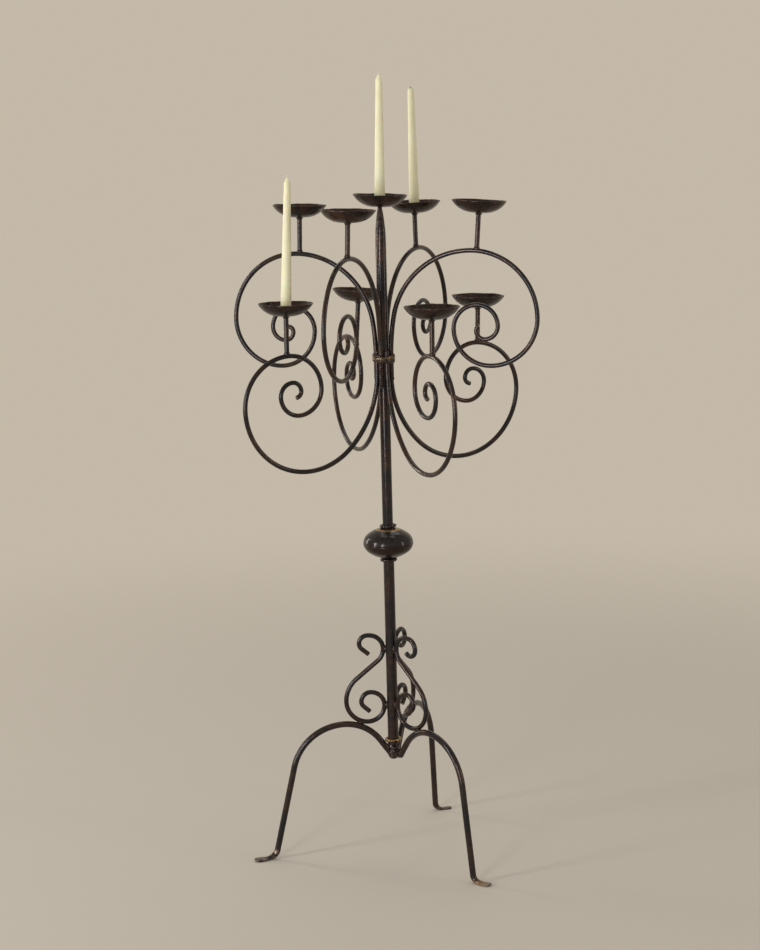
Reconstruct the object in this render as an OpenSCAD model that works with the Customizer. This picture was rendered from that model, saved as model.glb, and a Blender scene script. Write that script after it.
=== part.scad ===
// Torchere candle stand of forged round bar: a tripod foot, a shaft with a knop, and
// eight scrolled arms bound to the shaft by a collar, each carrying a drip pan.
// The origin is on the floor under the shaft. +Z is up and -Y is the front.
// Angles of arms, scrolls and legs are measured round the shaft from +X towards +Y.

/* [Shaft] */
// Diameter of the shaft above the knop
shaft_d = 21.5; // [19:0.5:24]
// Diameter of the shaft below the knop
lower_shaft_d = 22.5; // [20:0.5:25]
// Height of the shaft's lower end
shaft_bottom_z = 235; // [232:1:238]
// Height at which the forged point begins
point_start_z = 1277; // [1200:1:1310]
// Height of the shaft's upper end
shaft_top_z = 1351; // [1330:1:1400]
// Diameter of the shaft's upper end
shaft_tip_d = 8; // [6:0.5:12]

/* [Knop] */
// Height of the knop's seam
knop_z = 665; // [560:1:800]
// Diameter of the knop
knop_d = 103; // [85:1:125]
// Height of the knop without its lips
knop_h = 65; // [56:1:70]
// Radius of the rounded edge at the seam
knop_edge_r = 22; // [18:0.5:24]
// Thickness of the knop's sheet
knop_wall = 2.5; // [1.5:0.25:4]
// Diameter of the lip round the shaft
knop_lip_d = 29; // [27:0.5:32]
// Height of the lip above the dome
knop_lip_h = 0.8; // [0.5:0.1:3]
// Thickness of the wire of the three shaft rings
ring_wire_d = 6.4; // [4:0.1:6.6]
// Angle left open between the ends of a shaft ring
ring_open_angle = 14; // [8:1:40]
// Height of the ring above the legs
foot_ring_z = 244; // [243:0.5:260]

/* [Arms] */
// Thickness of the arms' bar
arm_d = 10; // [8:0.1:11]
// How much thinner the bar is drawn at each bend
arm_draw = 0.08; // [0.05:0.01:0.12]
// Height at which the upper arms leave the bundle
upper_leave_z = 1050; // [1046:1:1060]
// Radius of the upper arms' long rise
upper_rise_r = 464; // [400:1:540]
// Angle of that rise
upper_rise_angle = 9.5; // [6:0.5:12]
// Bend radii after the rise, from the crown to the curl
upper_bends = [165, 137, 96, 74, 48, 42]; // [30:1:200]
// Ratio of each curl bend to the one before it
upper_curl_ratio = 0.64; // [0.55:0.01:0.7]
// Angle that the upper curls turn through
upper_curl_angle = 266; // [200:1:300]
// Height at which the lower arms leave the bundle
lower_leave_z = 1022; // [1000:1:1030]
// Radius of the lower arms' fall
lower_fall_r = 204; // [180:1:230]
// Angle of that fall
lower_fall_angle = 48.5; // [44:0.5:53]
// Bend radii after the fall, from the lowest point to the curl
lower_bends = [135, 131, 100, 70, 51, 40]; // [30:1:160]
// Ratio of each lower curl bend to the one before it
lower_curl_ratio = 0.68; // [0.6:0.01:0.74]
// Angle that the lower curls turn through
lower_curl_angle = 264; // [200:1:300]
// Height of the upper ends of the lower arms
lower_tail_z = 1063; // [1058:1:1080]
// Length of the upper arms' straight tails below the bundle's edge: right, back, left, front
upper_tails = [46, 44, 47, 61]; // [35:1:80]

/* [Each arm as it was bent] */
// Angle round the shaft of the upper arms: right, back, left, front
upper_turn = [-14.5, 65, 163.5, 249.5]; // [-25:0.5:260]
// How much higher each upper arm sits
upper_lift = [-1, 1, 2, 1]; // [-4:1:4]
// How much further each upper arm opens
upper_open = [0.5, -2, -1, -0.5]; // [-3:0.5:3]
// Size of the two widest bends of each upper arm
upper_size = [0.98, 1.01, 0.98, 0.99]; // [0.94:0.01:1.06]
// How much further each upper curl turns
upper_curl = [-25, -10, 5, -15]; // [-40:5:20]
// Angle round the shaft of the lower arms: right, back, left, front
lower_turn = [27, 110, 209, 295]; // [20:0.5:302]
// How much higher each lower arm sits
lower_lift = [-8, 7, -2, 4]; // [-10:1:8]
// How much further each lower arm opens
lower_open = [-3.5, 13.5, -1, 5]; // [-6:0.5:15]
// Size of the two widest bends of each lower arm
lower_size = [1.04, 0.99, 1.04, 1.02]; // [0.96:0.01:1.06]
// How much further each lower curl turns
lower_curl = [5, 0, 0, -10]; // [-20:5:20]

/* [Collar and weld] */
// Height of the middle of the collar
collar_z = 1047; // [1044:0.5:1049]
// Height of the collar
collar_h = 18; // [12:0.5:24]
// Thickness of the collar's band
collar_t = 2.8; // [2:0.1:4]
// Diameter of a bead of weld below the collar
bead_d = 5.6; // [5:0.1:6]
// Number of beads down the front tail
bead_count = 10; // [9:1:13]
// Angle between the middle of the front tail and its row of beads
bead_side_angle = 5; // [0:1:10]

/* [Stems and pans] */
// Thickness of the stems
stem_d = 10; // [8.5:0.1:11]
// Diameter of the weld round a stem's foot
stem_weld_d = 12.5; // [11:0.5:15]
// Diameter of the weld under a pan
pan_weld_d = 15; // [12:0.5:20]
// Height of each of those welds
weld_h = 5; // [3:0.5:8]
// Distance of the upper stems from the shaft: right, back, left, front
upper_stem_r = [196, 173, 172, 185]; // [150:1:230]
// Length of the upper stems above the middle of the arm
upper_stem_len = [75, 73, 74, 70]; // [50:1:110]
// Lean of the upper stems towards +X
upper_lean = [4, -1, 1.5, 2]; // [-5:0.5:5]
// Distance of the lower stems from the shaft: right, back, left, front
lower_stem_r = [219, 166, 218, 222]; // [155:1:235]
// Length of the lower stems above the middle of the arm
lower_stem_len = [73, 95, 80, 73]; // [50:1:110]
// Lean of the lower stems towards +X
lower_lean = [1.5, 4, 0.5, 0.5]; // [-5:0.5:5]
// Lean of the pan on top of the shaft
top_lean = 2.5; // [-5:0.5:5]
// Diameter of a pan's rim
pan_d = 110; // [90:1:130]
// Depth of a pan from its rim to its underside
pan_depth = 24; // [20:0.5:30]
// Diameter of the flat middle of a pan
pan_flat_d = 26; // [24:0.5:34]
// Thickness of a pan's sheet
pan_wall = 2; // [1.2:0.1:3]
// Diameter of the spikes that hold the candles
spike_d = 5; // [4:0.1:7]
// Straight length of a spike
spike_h = 10; // [8:0.5:12]
// Height of a spike's point
spike_point_h = 5; // [3:0.5:6]

/* [Candles] */
// Diameter of a candle's foot
candle_d = 22.2; // [20:0.1:23.5]
// Diameter of a candle below its tip
candle_top_d = 13.2; // [10:0.1:16]
// Length of the wax: on the shaft, on the back arm, on the lower left arm
candle_len = [257, 252, 266]; // [120:1:300]
// Lean of each candle towards +X
candle_lean = [1, -0.5, 2.5]; // [-5:0.5:5]
// Height of the pointed tip of each candle
candle_tip_h = [9, 3, 10]; // [2:0.5:14]
// Diameter at the end of each tip
candle_tip_d = [4, 10, 4]; // [3.5:0.5:12]
// Thickness of a wick
wick_d = 2; // [1.4:0.1:2.4]
// Length of a wick that stands out of the wax
wick_out = [4, 3, 8]; // [2:0.5:15]
// Length of a wick inside the wax
wick_in = 20; // [10:1:40]

/* [Tripod] */
// Thickness of the legs' bar
leg_d = 13; // [11:0.5:13]
// Angle round the shaft of the legs: left, right, back
leg_turn = [188, 308, 69.5]; // [60:0.5:315]
// Distance from the shaft's middle to the inner end of each leg
leg_start_r = [5.5, 23, 24]; // [5:0.5:25]
// Height of the middle of the bar at the top of a leg's arch
leg_arch_z = 283; // [275:1:295]
// Angle at which a leg rises from the middle
leg_rise_angle = 54.5; // [52:0.5:57]
// Length of a leg's straight rise
leg_rise_len = 38.4; // [34:0.1:42]
// Radius of the inner side of the arch
leg_inner_r = 91.5; // [84:0.5:100]
// Radius of the outer side of the arch
leg_outer_r = [110, 103.5, 122]; // [98:0.5:125]
// Angle that the outer side of each arch turns through
leg_drop_angle = [77, 81, 84.5]; // [74:0.5:86]
// Radius of the bend above the foot
heel_r = [17, 10, 10]; // [9:0.5:24]
// Length of the forged toe
toe_len = [33, 32, 27]; // [24:0.5:44]
// Angle by which each toe is turned out of its leg's direction
toe_turn = [7, 17, -54]; // [-60:1:60]
// Width of each toe
toe_w = [23, 18, 13]; // [12.5:0.5:25]
// Thickness of the toe at its tip
toe_tip_h = 5; // [4:0.5:8]
// Height of the weld where the legs meet
hub_h = 32; // [28:0.5:33]
// Diameter of that weld at its lower end
hub_low_d = 16; // [12:0.5:18]
// Diameter of that weld under the shaft
hub_top_d = 24; // [22:0.5:25]
// Diameter of the lumps of weld on the legs' inner ends
hub_lump_d = 16; // [15:0.5:18]

/* [Base scrolls] */
// Thickness of the scrolls' bar
scroll_d = 10.4; // [8:0.1:11]
// Angle round the shaft of the scrolls: left, right, back
scroll_turn = [184.5, 312, 64]; // [60:0.5:315]
// Height at which a scroll touches the shaft
scroll_touch_z = 440; // [425:1:455]
// Radius of the upper curl's first bend, away from the shaft
scroll_rise_r = 29.8; // [26:0.1:33]
// Length of the straight stretch after it: left, right, back
scroll_over_len = [3, 6, 0]; // [0:0.5:8]
// Radius of the upper curl's second bend
scroll_over_r = [17, 21.3, 21.3]; // [16:0.1:24]
// Radius of the tip bend of the upper curl
scroll_tip_r = 15.2; // [13:0.1:17]
// Angle of the tip bend
scroll_tip_angle = [50, 127, 127]; // [40:1:150]
// Straight length of the tip
scroll_tip_len = [18, 3, 0]; // [0:0.5:20]
// Slope of the straight stretch
scroll_slope = 50.5; // [46:0.5:55]
// Radius between the shaft and the straight stretch
scroll_neck_r = 33; // [28:0.5:38]
// Radius from the straight stretch to the widest point
scroll_belly_r = 62; // [54:0.5:70]
// Radius from the widest point to the lowest point, on the leg
scroll_bowl_r = 45; // [40:0.5:50]
// Radius of the bend after the one that comes back to the shaft
scroll_inner_r = 28.5; // [26:0.5:33]
// Ratio of each bend of the lower curl to the one before it
scroll_curl_ratio = 0.69; // [0.62:0.01:0.74]
// Angle that the lower curl turns through
scroll_curl_angle = 138; // [100:1:150]
// Straight length of the lower curl's tip
scroll_curl_len = 17; // [4:0.5:20]
// Diameter of the lumps of weld that hold a scroll
scroll_weld_d = 13; // [11:0.5:15]

/* [Fits] */
// Gap between bars that are welded or bound together
joint_gap = 0.05; // [0.02:0.01:0.1]
// Gap between the collar and the bars
collar_gap = 0.15; // [0.1:0.01:0.3]
// Gap between a candle and its spike, all round
spike_gap = 0.1; // [0.05:0.01:0.1]
// Gap between a candle's foot and the pan
seat_gap = 0.3; // [0.1:0.05:0.5]

/* [Hidden] */
$fn = 64;

iron = "#26221f";
brown_iron = "#3a2f27";
pan_iron = "#2f2822";
wax = "#e6dfb0";
cotton = "#d9d4c4";
char = "#1a1715";

RIGHT = 0;
BACK = 1;
LEFT = 2;
FRONT = 3;
// How far each bend of a bar reaches back into the one before it
lap = 1;
// Angles of the bundled bars in their order round the shaft, where upper and lower arms take turns
arm_turns = [for (i = [0:3]) each [upper_turn[i], lower_turn[i]]];
even_turn = 360 / len(arm_turns);
even_from = sum([for (k = [0:7]) arm_turns[k] - k * even_turn]) / len(arm_turns);
closest_turn = min([for (k = [0:7]) (k < 7 ? arm_turns[k + 1] : arm_turns[0] + 360) - arm_turns[k]]);
// Distance of the bundled bars from the middle of the shaft
bundle_r = max(shaft_d / 2 + joint_gap + arm_d / 2, (arm_d + joint_gap) / 2 / sin(even_turn / 2));
// The angle that a bar takes up; bars too thick for the closest pair stand more evenly
bar_turn = 2 * asin((arm_d + joint_gap) / 2 / bundle_r);
evenness = max(0, (bar_turn - closest_turn) / (even_turn - closest_turn));
function bearing(k) = arm_turns[k] + (even_from + k * even_turn - arm_turns[k]) * evenness;
function upper_bearing(i) = bearing(2 * i);
function lower_bearing(i) = bearing(2 * i + 1);
// How far each candle leans from the pan that it stands in
top_candle_lean = candle_lean[0] - top_lean;
back_candle_lean = candle_lean[1] - upper_lean[BACK];
left_candle_lean = candle_lean[2] - lower_lean[LEFT];
// The bends of an arm on each side of its crown: nearer the shaft, further from it
upper_crown = [2, 3];
lower_crown = [5, 4];

function sum(numbers, i = 0) = i < len(numbers) ? numbers[i] + sum(numbers, i + 1) : 0;

// A bar's path is a list of bends [radius, angle], or [0, length] for a straight stretch.
// A position on it is [distance from the shaft, height, heading]; a left turn is positive.
function step(s, b) = b[0] == 0
  ? [s[0] + b[1] * cos(s[2]), s[1] + b[1] * sin(s[2]), s[2]]
  : let (side = sign(b[1]), turned = s[2] + b[1])
    [s[0] + side * b[0] * (sin(turned) - sin(s[2])), s[1] - side * b[0] * (cos(turned) - cos(s[2])), turned];
function walk(start, bends) =
  [for (i = 0, s = start; i <= len(bends); s = i < len(bends) ? step(s, bends[i]) : s, i = i + 1) s];
function centre(s, b) = [s[0] - sign(b[1]) * b[0] * sin(s[2]), s[1] + sign(b[1]) * b[0] * cos(s[2])];
// Bends of a curl that tightens by a ratio until its angle is used up
function curl(r, ratio, angle, side) = angle <= 0
  ? []
  : concat([[r * ratio, side * min(90, angle)]], curl(r * ratio, ratio, angle - 90, side));

function upper_path(i) = concat(
  [[0, upper_tails[i]], [upper_rise_r, -(upper_rise_angle + upper_open[i])]],
  [[upper_bends[0] * upper_size[i], upper_rise_angle - 90], [upper_bends[1] * upper_size[i], -90]],
  [for (j = [2:5]) [upper_bends[j], -90]],
  curl(upper_bends[5], upper_curl_ratio, upper_curl_angle + upper_curl[i], -1));
function upper_start(i) = [bundle_r, upper_leave_z + upper_lift[i] - upper_tails[i], 90];
function lower_path(i) = concat(
  [[0, lower_tail_z - lower_leave_z - lower_lift[i]], [lower_fall_r, lower_fall_angle + lower_open[i]]],
  [[lower_bends[0] * lower_size[i], 90 - lower_fall_angle], [lower_bends[1] * lower_size[i], 90]],
  [for (j = [2:5]) [lower_bends[j], 90]],
  curl(lower_bends[5], lower_curl_ratio, lower_curl_angle + lower_curl[i], 1));
lower_start = [bundle_r, lower_tail_z, -90];

// Middle of the bar at a distance from the shaft, on one of the bends at the crown: [height, slope]
function on_bend(s, b, r) = let (c = centre(s, b), rise = sqrt(b[0] * b[0] - (r - c[0]) * (r - c[0])))
  [c[1] + rise, abs(r - c[0]) / rise];
function seat(path, bends, crown, r) = let (k = r < path[max(crown)][0] ? crown[0] : crown[1])
  on_bend(path[k], bends[k], r);
function upper_seat(i) = seat(walk(upper_start(i), upper_path(i)), upper_path(i), upper_crown, upper_stem_r[i]);
function lower_seat(i) = seat(walk(lower_start, lower_path(i)), lower_path(i), lower_crown, lower_stem_r[i]);

// The pan's round wall is an arc whose middle is over the edge of the flat
pan_arc_w = (pan_d - pan_flat_d) / 2;
pan_arc_r = (pan_arc_w * pan_arc_w + pan_depth * pan_depth) / (2 * pan_depth);

// The knop's outline is two dome arcs joined by a round edge
dome_r = (pow(knop_d / 2 - knop_edge_r, 2) + pow(knop_h / 2, 2) - pow(knop_edge_r, 2)) / (knop_h - 2 * knop_edge_r);
dome_angle = asin((knop_d / 2 - knop_edge_r) / (dome_r - knop_edge_r));
knop_lip_z = dome_r * cos(asin(knop_lip_d / 2 / dome_r)) - dome_r + knop_h / 2 + knop_lip_h;

// Legs: from the inner end over the arch, down, and out to the toe
leg_start_z = leg_arch_z - leg_rise_len * sin(leg_rise_angle) - leg_inner_r * (1 - cos(leg_rise_angle));
function leg_drop_len(i) = (leg_arch_z - leg_d / 2
  - (leg_outer_r[i] + heel_r[i]) * (1 - cos(leg_drop_angle[i]))) / sin(leg_drop_angle[i]);
function leg_path(i) = [[0, leg_rise_len], [leg_inner_r, -leg_rise_angle],
  [leg_outer_r[i], -leg_drop_angle[i]], [0, leg_drop_len(i) - ankle_in]];
// The ankle: the leg's straight and the bend above the toe both end a little short of its middle
ankle_in = 1.5;
ankle_d = leg_d + 0.4;
function ankle(i) = walk(leg_start(i), leg_path(i))[4] + [ankle_in * cos(leg_drop_angle[i]),
  -ankle_in * sin(leg_drop_angle[i]), 0];
function leg_start(i) = [leg_start_r[i], leg_start_z, leg_rise_angle];

// Base scrolls touch the shaft twice; the straight stretch is as long as it takes to touch the leg
scroll_r = lower_shaft_d / 2 + joint_gap + scroll_d / 2;
scroll_touch = [scroll_r, scroll_touch_z, -90];
// Distance from the shaft's middle at which a scroll meets its leg, nearly
leg_touch_r = 75;
function side_step(i) = leg_touch_r * sin(scroll_turn[i] - leg_turn[i]);
function leg_distance(i) = scroll_bowl_r + leg_inner_r
  + sqrt(pow(leg_d / 2 + scroll_d / 2 + joint_gap, 2) - pow(side_step(i), 2));
function scroll_run(length) = [[scroll_neck_r, scroll_slope], [0, length], [scroll_belly_r, -scroll_slope]];
function bowl_middle(length) = centre(walk(scroll_touch, scroll_run(length))[3], [scroll_bowl_r, -90]);
function arch_middle(i) = centre(step(leg_start(i), leg_path(i)[0]), leg_path(i)[1]);
function neck_length(i) = let (
    from = bowl_middle(0) - arch_middle(i),
    nearing = from * [sin(scroll_slope), -cos(scroll_slope)])
  -nearing - sqrt(nearing * nearing - from * from + pow(leg_distance(i), 2));
function scroll_path(i) = let (return_r = bowl_middle(neck_length(i))[0] - scroll_r) concat(
  scroll_run(neck_length(i)), [for (r = [scroll_bowl_r, return_r, scroll_inner_r]) [r, -90]],
  curl(scroll_inner_r, scroll_curl_ratio, scroll_curl_angle, -1), [[0, scroll_curl_len]]);
function straight(length) = length > 0 ? [[0, length]] : [];
function top_curl(i) = concat([[0, lap], [scroll_rise_r, -90]], straight(scroll_over_len[i]),
  [[scroll_over_r[i], -90], [scroll_tip_r, -scroll_tip_angle[i]]], straight(scroll_tip_len[i]));

// One stretch of a bar, in the plane through the shaft
module stretch(s, b, d, back) {
  if (b[0] == 0)
    translate([s[0], 0, s[1]])
      rotate([0, 90 - s[2], 0])
        translate([0, 0, -back])
          cylinder(h = b[1] + back, d = d);
  else {
    side = sign(b[1]);
    back_angle = back / b[0] * 180 / PI;
    translate([centre(s, b)[0], 0, centre(s, b)[1]])
      rotate([90, 0, 0])
        rotate([0, 0, side > 0 ? s[2] - 90 - back_angle : s[2] + 90 + b[1]])
          rotate_extrude(angle = abs(b[1]) + back_angle)
            translate([b[0], 0]) circle(d = d);
  }
}

// A whole bar, drawn a little thinner at each bend
module bar(start, bends, d, draw) {
  path = walk(start, bends);
  for (i = [0:len(bends) - 1])
    stretch(path[i], bends[i], d - i * draw, i == 0 ? 0 : lap);
}

module round_about(angle) {
  rotate([0, 0, angle]) children();
}

// Places on the arms: the origin moves to the middle of the bar and leans with the stem
module on_arm(turn, r, z, lean) {
  translate([r * cos(turn), r * sin(turn), z])
    rotate([0, lean, 0])
      children();
}

module on_upper(i) {
  on_arm(upper_bearing(i), upper_stem_r[i], upper_seat(i)[0], upper_lean[i]) children();
}

module on_lower(i) {
  on_arm(lower_bearing(i), lower_stem_r[i], lower_seat(i)[0], lower_lean[i]) children();
}

module on_upper_stem(i) {
  on_upper(i) translate([0, 0, upper_stem_len[i]]) children();
}

module on_lower_stem(i) {
  on_lower(i) translate([0, 0, lower_stem_len[i]]) children();
}

module on_shaft() {
  translate([0, 0, shaft_top_z + shaft_tip_d / 2 * sin(abs(top_lean))])
    rotate([0, top_lean, 0])
      children();
}

module shaft_profile() {
  point_h = shaft_top_z - point_start_z;
  point_in = (shaft_d - shaft_tip_d) / 2;
  point_r = (point_h * point_h + point_in * point_in) / (2 * point_in);
  translate([0, shaft_bottom_z]) square([lower_shaft_d / 2, knop_z - shaft_bottom_z]);
  translate([0, knop_z - lap]) square([shaft_d / 2, point_start_z - knop_z + lap]);
  intersection() {
    translate([shaft_d / 2 - point_r, point_start_z]) circle(r = point_r, $fn = 720);
    translate([0, point_start_z - lap]) square([shaft_d / 2, point_h + lap]);
  }
}

module shaft() {
  color(iron) rotate_extrude() shaft_profile();
}

// Half of the knop's outline from a distance to the seam, shrunk by an inset
function knop_outline(inset, from_r) = let (from_angle = asin(from_r / (dome_r - inset))) concat(
  [for (k = [0:8]) let (a = from_angle + (dome_angle - from_angle) * k / 8)
    [(dome_r - inset) * sin(a), (dome_r - inset) * cos(a) - dome_r + knop_h / 2]],
  [for (k = [1:6]) let (a = dome_angle + (90 - dome_angle) * k / 6)
    [knop_d / 2 - knop_edge_r + (knop_edge_r - inset) * sin(a), (knop_edge_r - inset) * cos(a)]]);

module knop_shell(hole_d) {
  hole_r = hole_d / 2 + joint_gap;
  inside = knop_outline(knop_wall, hole_r);
  rotate_extrude()
    polygon(concat([[hole_r, knop_lip_z], [knop_lip_d / 2, knop_lip_z]], knop_outline(0, knop_lip_d / 2),
      [for (k = [len(inside) - 1:-1:0]) inside[k]]));
}

module knop_upper() {
  color(iron) translate([0, 0, knop_z]) knop_shell(shaft_d);
}

module knop_lower() {
  color(iron) translate([0, 0, knop_z]) mirror([0, 0, 1]) knop_shell(lower_shaft_d);
}

// A ring of round wire bent round the shaft, its ends left apart at the back
module shaft_ring(around_d, z) {
  color(iron)
    translate([0, 0, z])
      rotate([0, 0, 90 + ring_open_angle / 2])
        rotate_extrude(angle = 360 - ring_open_angle)
          translate([around_d / 2 + joint_gap + ring_wire_d / 2, 0]) circle(d = ring_wire_d);
}

module knop_ring_upper() {
  shaft_ring(shaft_d, knop_z + knop_lip_z + joint_gap + ring_wire_d / 2);
}

module knop_ring_lower() {
  shaft_ring(lower_shaft_d, knop_z - knop_lip_z - joint_gap - ring_wire_d / 2);
}

module foot_ring() {
  shaft_ring(lower_shaft_d, foot_ring_z);
}

module arm_collar() {
  inner_r = bundle_r + arm_d / 2 + collar_gap;
  color(iron)
    translate([0, 0, collar_z])
      rotate_extrude()
        for (side = [-1, 1])
          translate([inner_r, side * collar_h / 4])
            intersection() {
              translate([collar_t - collar_h / 2, 0]) circle(d = collar_h);
              translate([0, -collar_h / 4 - joint_gap]) square([collar_t, collar_h / 2 + 2 * joint_gap]);
            }
}

module upper_arm(i) {
  color(i == FRONT ? brown_iron : iron) {
    round_about(upper_bearing(i)) bar(upper_start(i), upper_path(i), arm_d, arm_draw);
    if (i == FRONT) tail_beads();
  }
}

// Beads of weld down the front tail, the last one a larger lump at its end
module tail_beads() {
  tail_end_z = upper_start(FRONT)[1];
  first_z = collar_z - collar_h / 2 - bead_d;
  for (k = [0:bead_count - 1])
    round_about(upper_bearing(FRONT) + bead_side_angle)
      translate([bundle_r + arm_d / 2, 0, first_z + (tail_end_z - first_z) * k / (bead_count - 1)])
        sphere(d = k == bead_count - 1 ? bead_d * 1.4 : bead_d - 0.1 * (k % 2));
}

module lower_arm(i) {
  color(i == FRONT ? brown_iron : iron)
    round_about(lower_bearing(i)) bar(lower_start, lower_path(i), arm_d, arm_draw);
}

// The two bends of an arm at its crown, to cut the foot of a stem
module crown_cut(start, bends, crown) {
  path = walk(start, bends);
  for (k = crown)
    stretch(path[k], bends[k], arm_d - k * arm_draw + 2 * joint_gap, lap);
}

module stem(height, slope) {
  foot = arm_d / 4 - stem_d / 4 * slope;
  translate([0, 0, foot]) cylinder(h = height - foot, d = stem_d);
  translate([0, 0, foot]) cylinder(h = arm_d / 4 + weld_h, d1 = stem_weld_d, d2 = stem_d - 0.2);
  translate([0, 0, height - weld_h]) cylinder(h = weld_h, d1 = stem_d - 0.2, d2 = pan_weld_d);
}

module upper_stem(i) {
  color(iron)
    difference() {
      on_upper(i) stem(upper_stem_len[i], upper_seat(i)[1]);
      round_about(upper_bearing(i)) crown_cut(upper_start(i), upper_path(i), upper_crown);
    }
}

module lower_stem(i) {
  color(iron)
    difference() {
      on_lower(i) stem(lower_stem_len[i], lower_seat(i)[1]);
      round_about(lower_bearing(i)) crown_cut(lower_start, lower_path(i), lower_crown);
    }
}

// A dished pan that stands on the origin
module pan() {
  flat_r = pan_flat_d / 2;
  color(pan_iron)
    rotate_extrude()
      difference() {
        union() {
          square([flat_r + 0.01, pan_depth]);
          intersection() {
            translate([flat_r, pan_arc_r]) circle(r = pan_arc_r);
            translate([flat_r, 0]) square([pan_arc_w + lap, pan_depth]);
          }
        }
        translate([0, pan_wall]) square([flat_r + 0.01, pan_depth]);
        intersection() {
          translate([flat_r, pan_arc_r]) circle(r = pan_arc_r - pan_wall);
          translate([flat_r, 0]) square([pan_arc_w, pan_depth + lap]);
        }
      }
}

// A spike on the floor of a pan; the ones under candles lean with them
module spike(lean) {
  color(pan_iron)
    translate([0, 0, pan_wall + spike_d / 2 * sin(abs(lean))])
      rotate([0, lean, 0]) {
        cylinder(h = spike_h, d = spike_d);
        translate([0, 0, spike_h]) cylinder(h = spike_point_h, d1 = spike_d, d2 = 1);
      }
}

// A tapered candle over its spike, leaning by an angle from the pan
module candle_place(lean) {
  translate([0, 0, pan_wall + seat_gap + candle_d / 2 * sin(abs(lean))])
    rotate([0, lean, 0])
      children();
}

module candle(i, lean) {
  body_h = candle_len[i] - candle_tip_h[i];
  color(wax)
    candle_place(lean)
      difference() {
        union() {
          cylinder(h = body_h, d1 = candle_d, d2 = candle_top_d);
          translate([0, 0, body_h]) cylinder(h = candle_tip_h[i], d1 = candle_top_d, d2 = candle_tip_d[i]);
        }
        translate([0, 0, -lap]) cylinder(h = spike_h + spike_point_h + 2 * lap, d = spike_d + 2 * spike_gap);
        translate([0, 0, candle_len[i] - wick_in - joint_gap])
          cylinder(h = wick_in + lap, d = wick_d + 2 * joint_gap);
      }
}

module wick(i, lean, shade) {
  color(shade)
    candle_place(lean)
      translate([0, 0, candle_len[i] - wick_in])
        cylinder(h = wick_in + wick_out[i], d = wick_d);
}

module leg(i) {
  color(iron)
    round_about(leg_turn[i]) {
      bar(leg_start(i), leg_path(i), leg_d, arm_draw);
      translate([ankle(i)[0], 0, 0]) {
        translate([0, 0, ankle(i)[1]]) sphere(d = ankle_d);
        round_about(toe_turn[i]) foot(i);
      }
    }
}

// The bend under the ankle and the toe, which may be turned out of the leg's direction
module foot(i) {
  from = [0, ankle(i)[1], -leg_drop_angle[i]];
  bend = [heel_r[i], leg_drop_angle[i]];
  stretch(from, bend, leg_d - 4 * arm_draw, -ankle_in);
  translate([step(from, bend)[0], 0, 0]) toe(toe_len[i], toe_w[i]);
}

// The forged toe: a wedge seen from the side, a spatula seen from above
module toe(length, width) {
  root = leg_d - 1;
  intersection() {
    rotate([90, 0, 0])
      linear_extrude(height = width + lap, center = true)
        polygon([[-lap, 0], [length, 0], [length, toe_tip_h], [-lap, root]]);
    linear_extrude(height = leg_d) {
      polygon([[-lap, -root / 2], [length - width / 2, -width / 2],
        [length - width / 2, width / 2], [-lap, root / 2]]);
      translate([length - width / 2, 0]) circle(d = width);
    }
  }
}

// The weld that joins the inner ends of the legs under the shaft, a lump on each leg
module hub_weld() {
  color(iron)
    difference() {
      union() {
        translate([0, 0, shaft_bottom_z - hub_h]) cylinder(h = hub_h, d1 = hub_low_d, d2 = hub_top_d);
        for (i = [0:2])
          round_about(leg_turn[i])
            translate([leg_start_r[i] / 2 + leg_d / 4, 0, leg_start_z]) sphere(d = hub_lump_d);
      }
      for (i = [0:2])
        round_about(leg_turn[i]) stretch(leg_start(i), leg_path(i)[0], leg_d + 2 * joint_gap, lap);
    }
}

// A base scroll with its lumps of weld: two on the shaft and one on the leg
module scroll(i) {
  bowl = bowl_middle(neck_length(i));
  to_leg = (arch_middle(i) - bowl) / norm(arch_middle(i) - bowl) * (scroll_bowl_r + scroll_d / 2);
  return_z = bowl[1] - scroll_bowl_r + bowl[0] - scroll_r;
  color(iron) {
    round_about(scroll_turn[i]) {
      bar(scroll_touch, scroll_path(i), scroll_d, arm_draw);
      bar([scroll_r, scroll_touch_z - lap, 90], top_curl(i), scroll_d - arm_draw, arm_draw);
    }
    difference() {
      for (z = [scroll_touch_z, return_z])
        weld_lump(i, [scroll_r - scroll_d / 2, z]);
      translate([0, 0, shaft_bottom_z])
        cylinder(h = knop_z - shaft_bottom_z, d = lower_shaft_d + joint_gap);
    }
    difference() {
      weld_lump(i, bowl + to_leg);
      round_about(leg_turn[i])
        for (k = [0, 1])
          stretch(walk(leg_start(i), leg_path(i))[k], leg_path(i)[k], leg_d - k * arm_draw + joint_gap, 0);
    }
  }
}

module weld_lump(i, place) {
  round_about(scroll_turn[i])
    translate([place[0], 0, place[1]])
      sphere(d = scroll_weld_d);
}

module upper_pan(i) {
  on_upper_stem(i) pan();
}

module lower_pan(i) {
  on_lower_stem(i) pan();
}

module upper_spike(i) {
  on_upper_stem(i) spike(i == BACK ? back_candle_lean : 0);
}

module lower_spike(i) {
  on_lower_stem(i) spike(i == LEFT ? left_candle_lean : 0);
}

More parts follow.
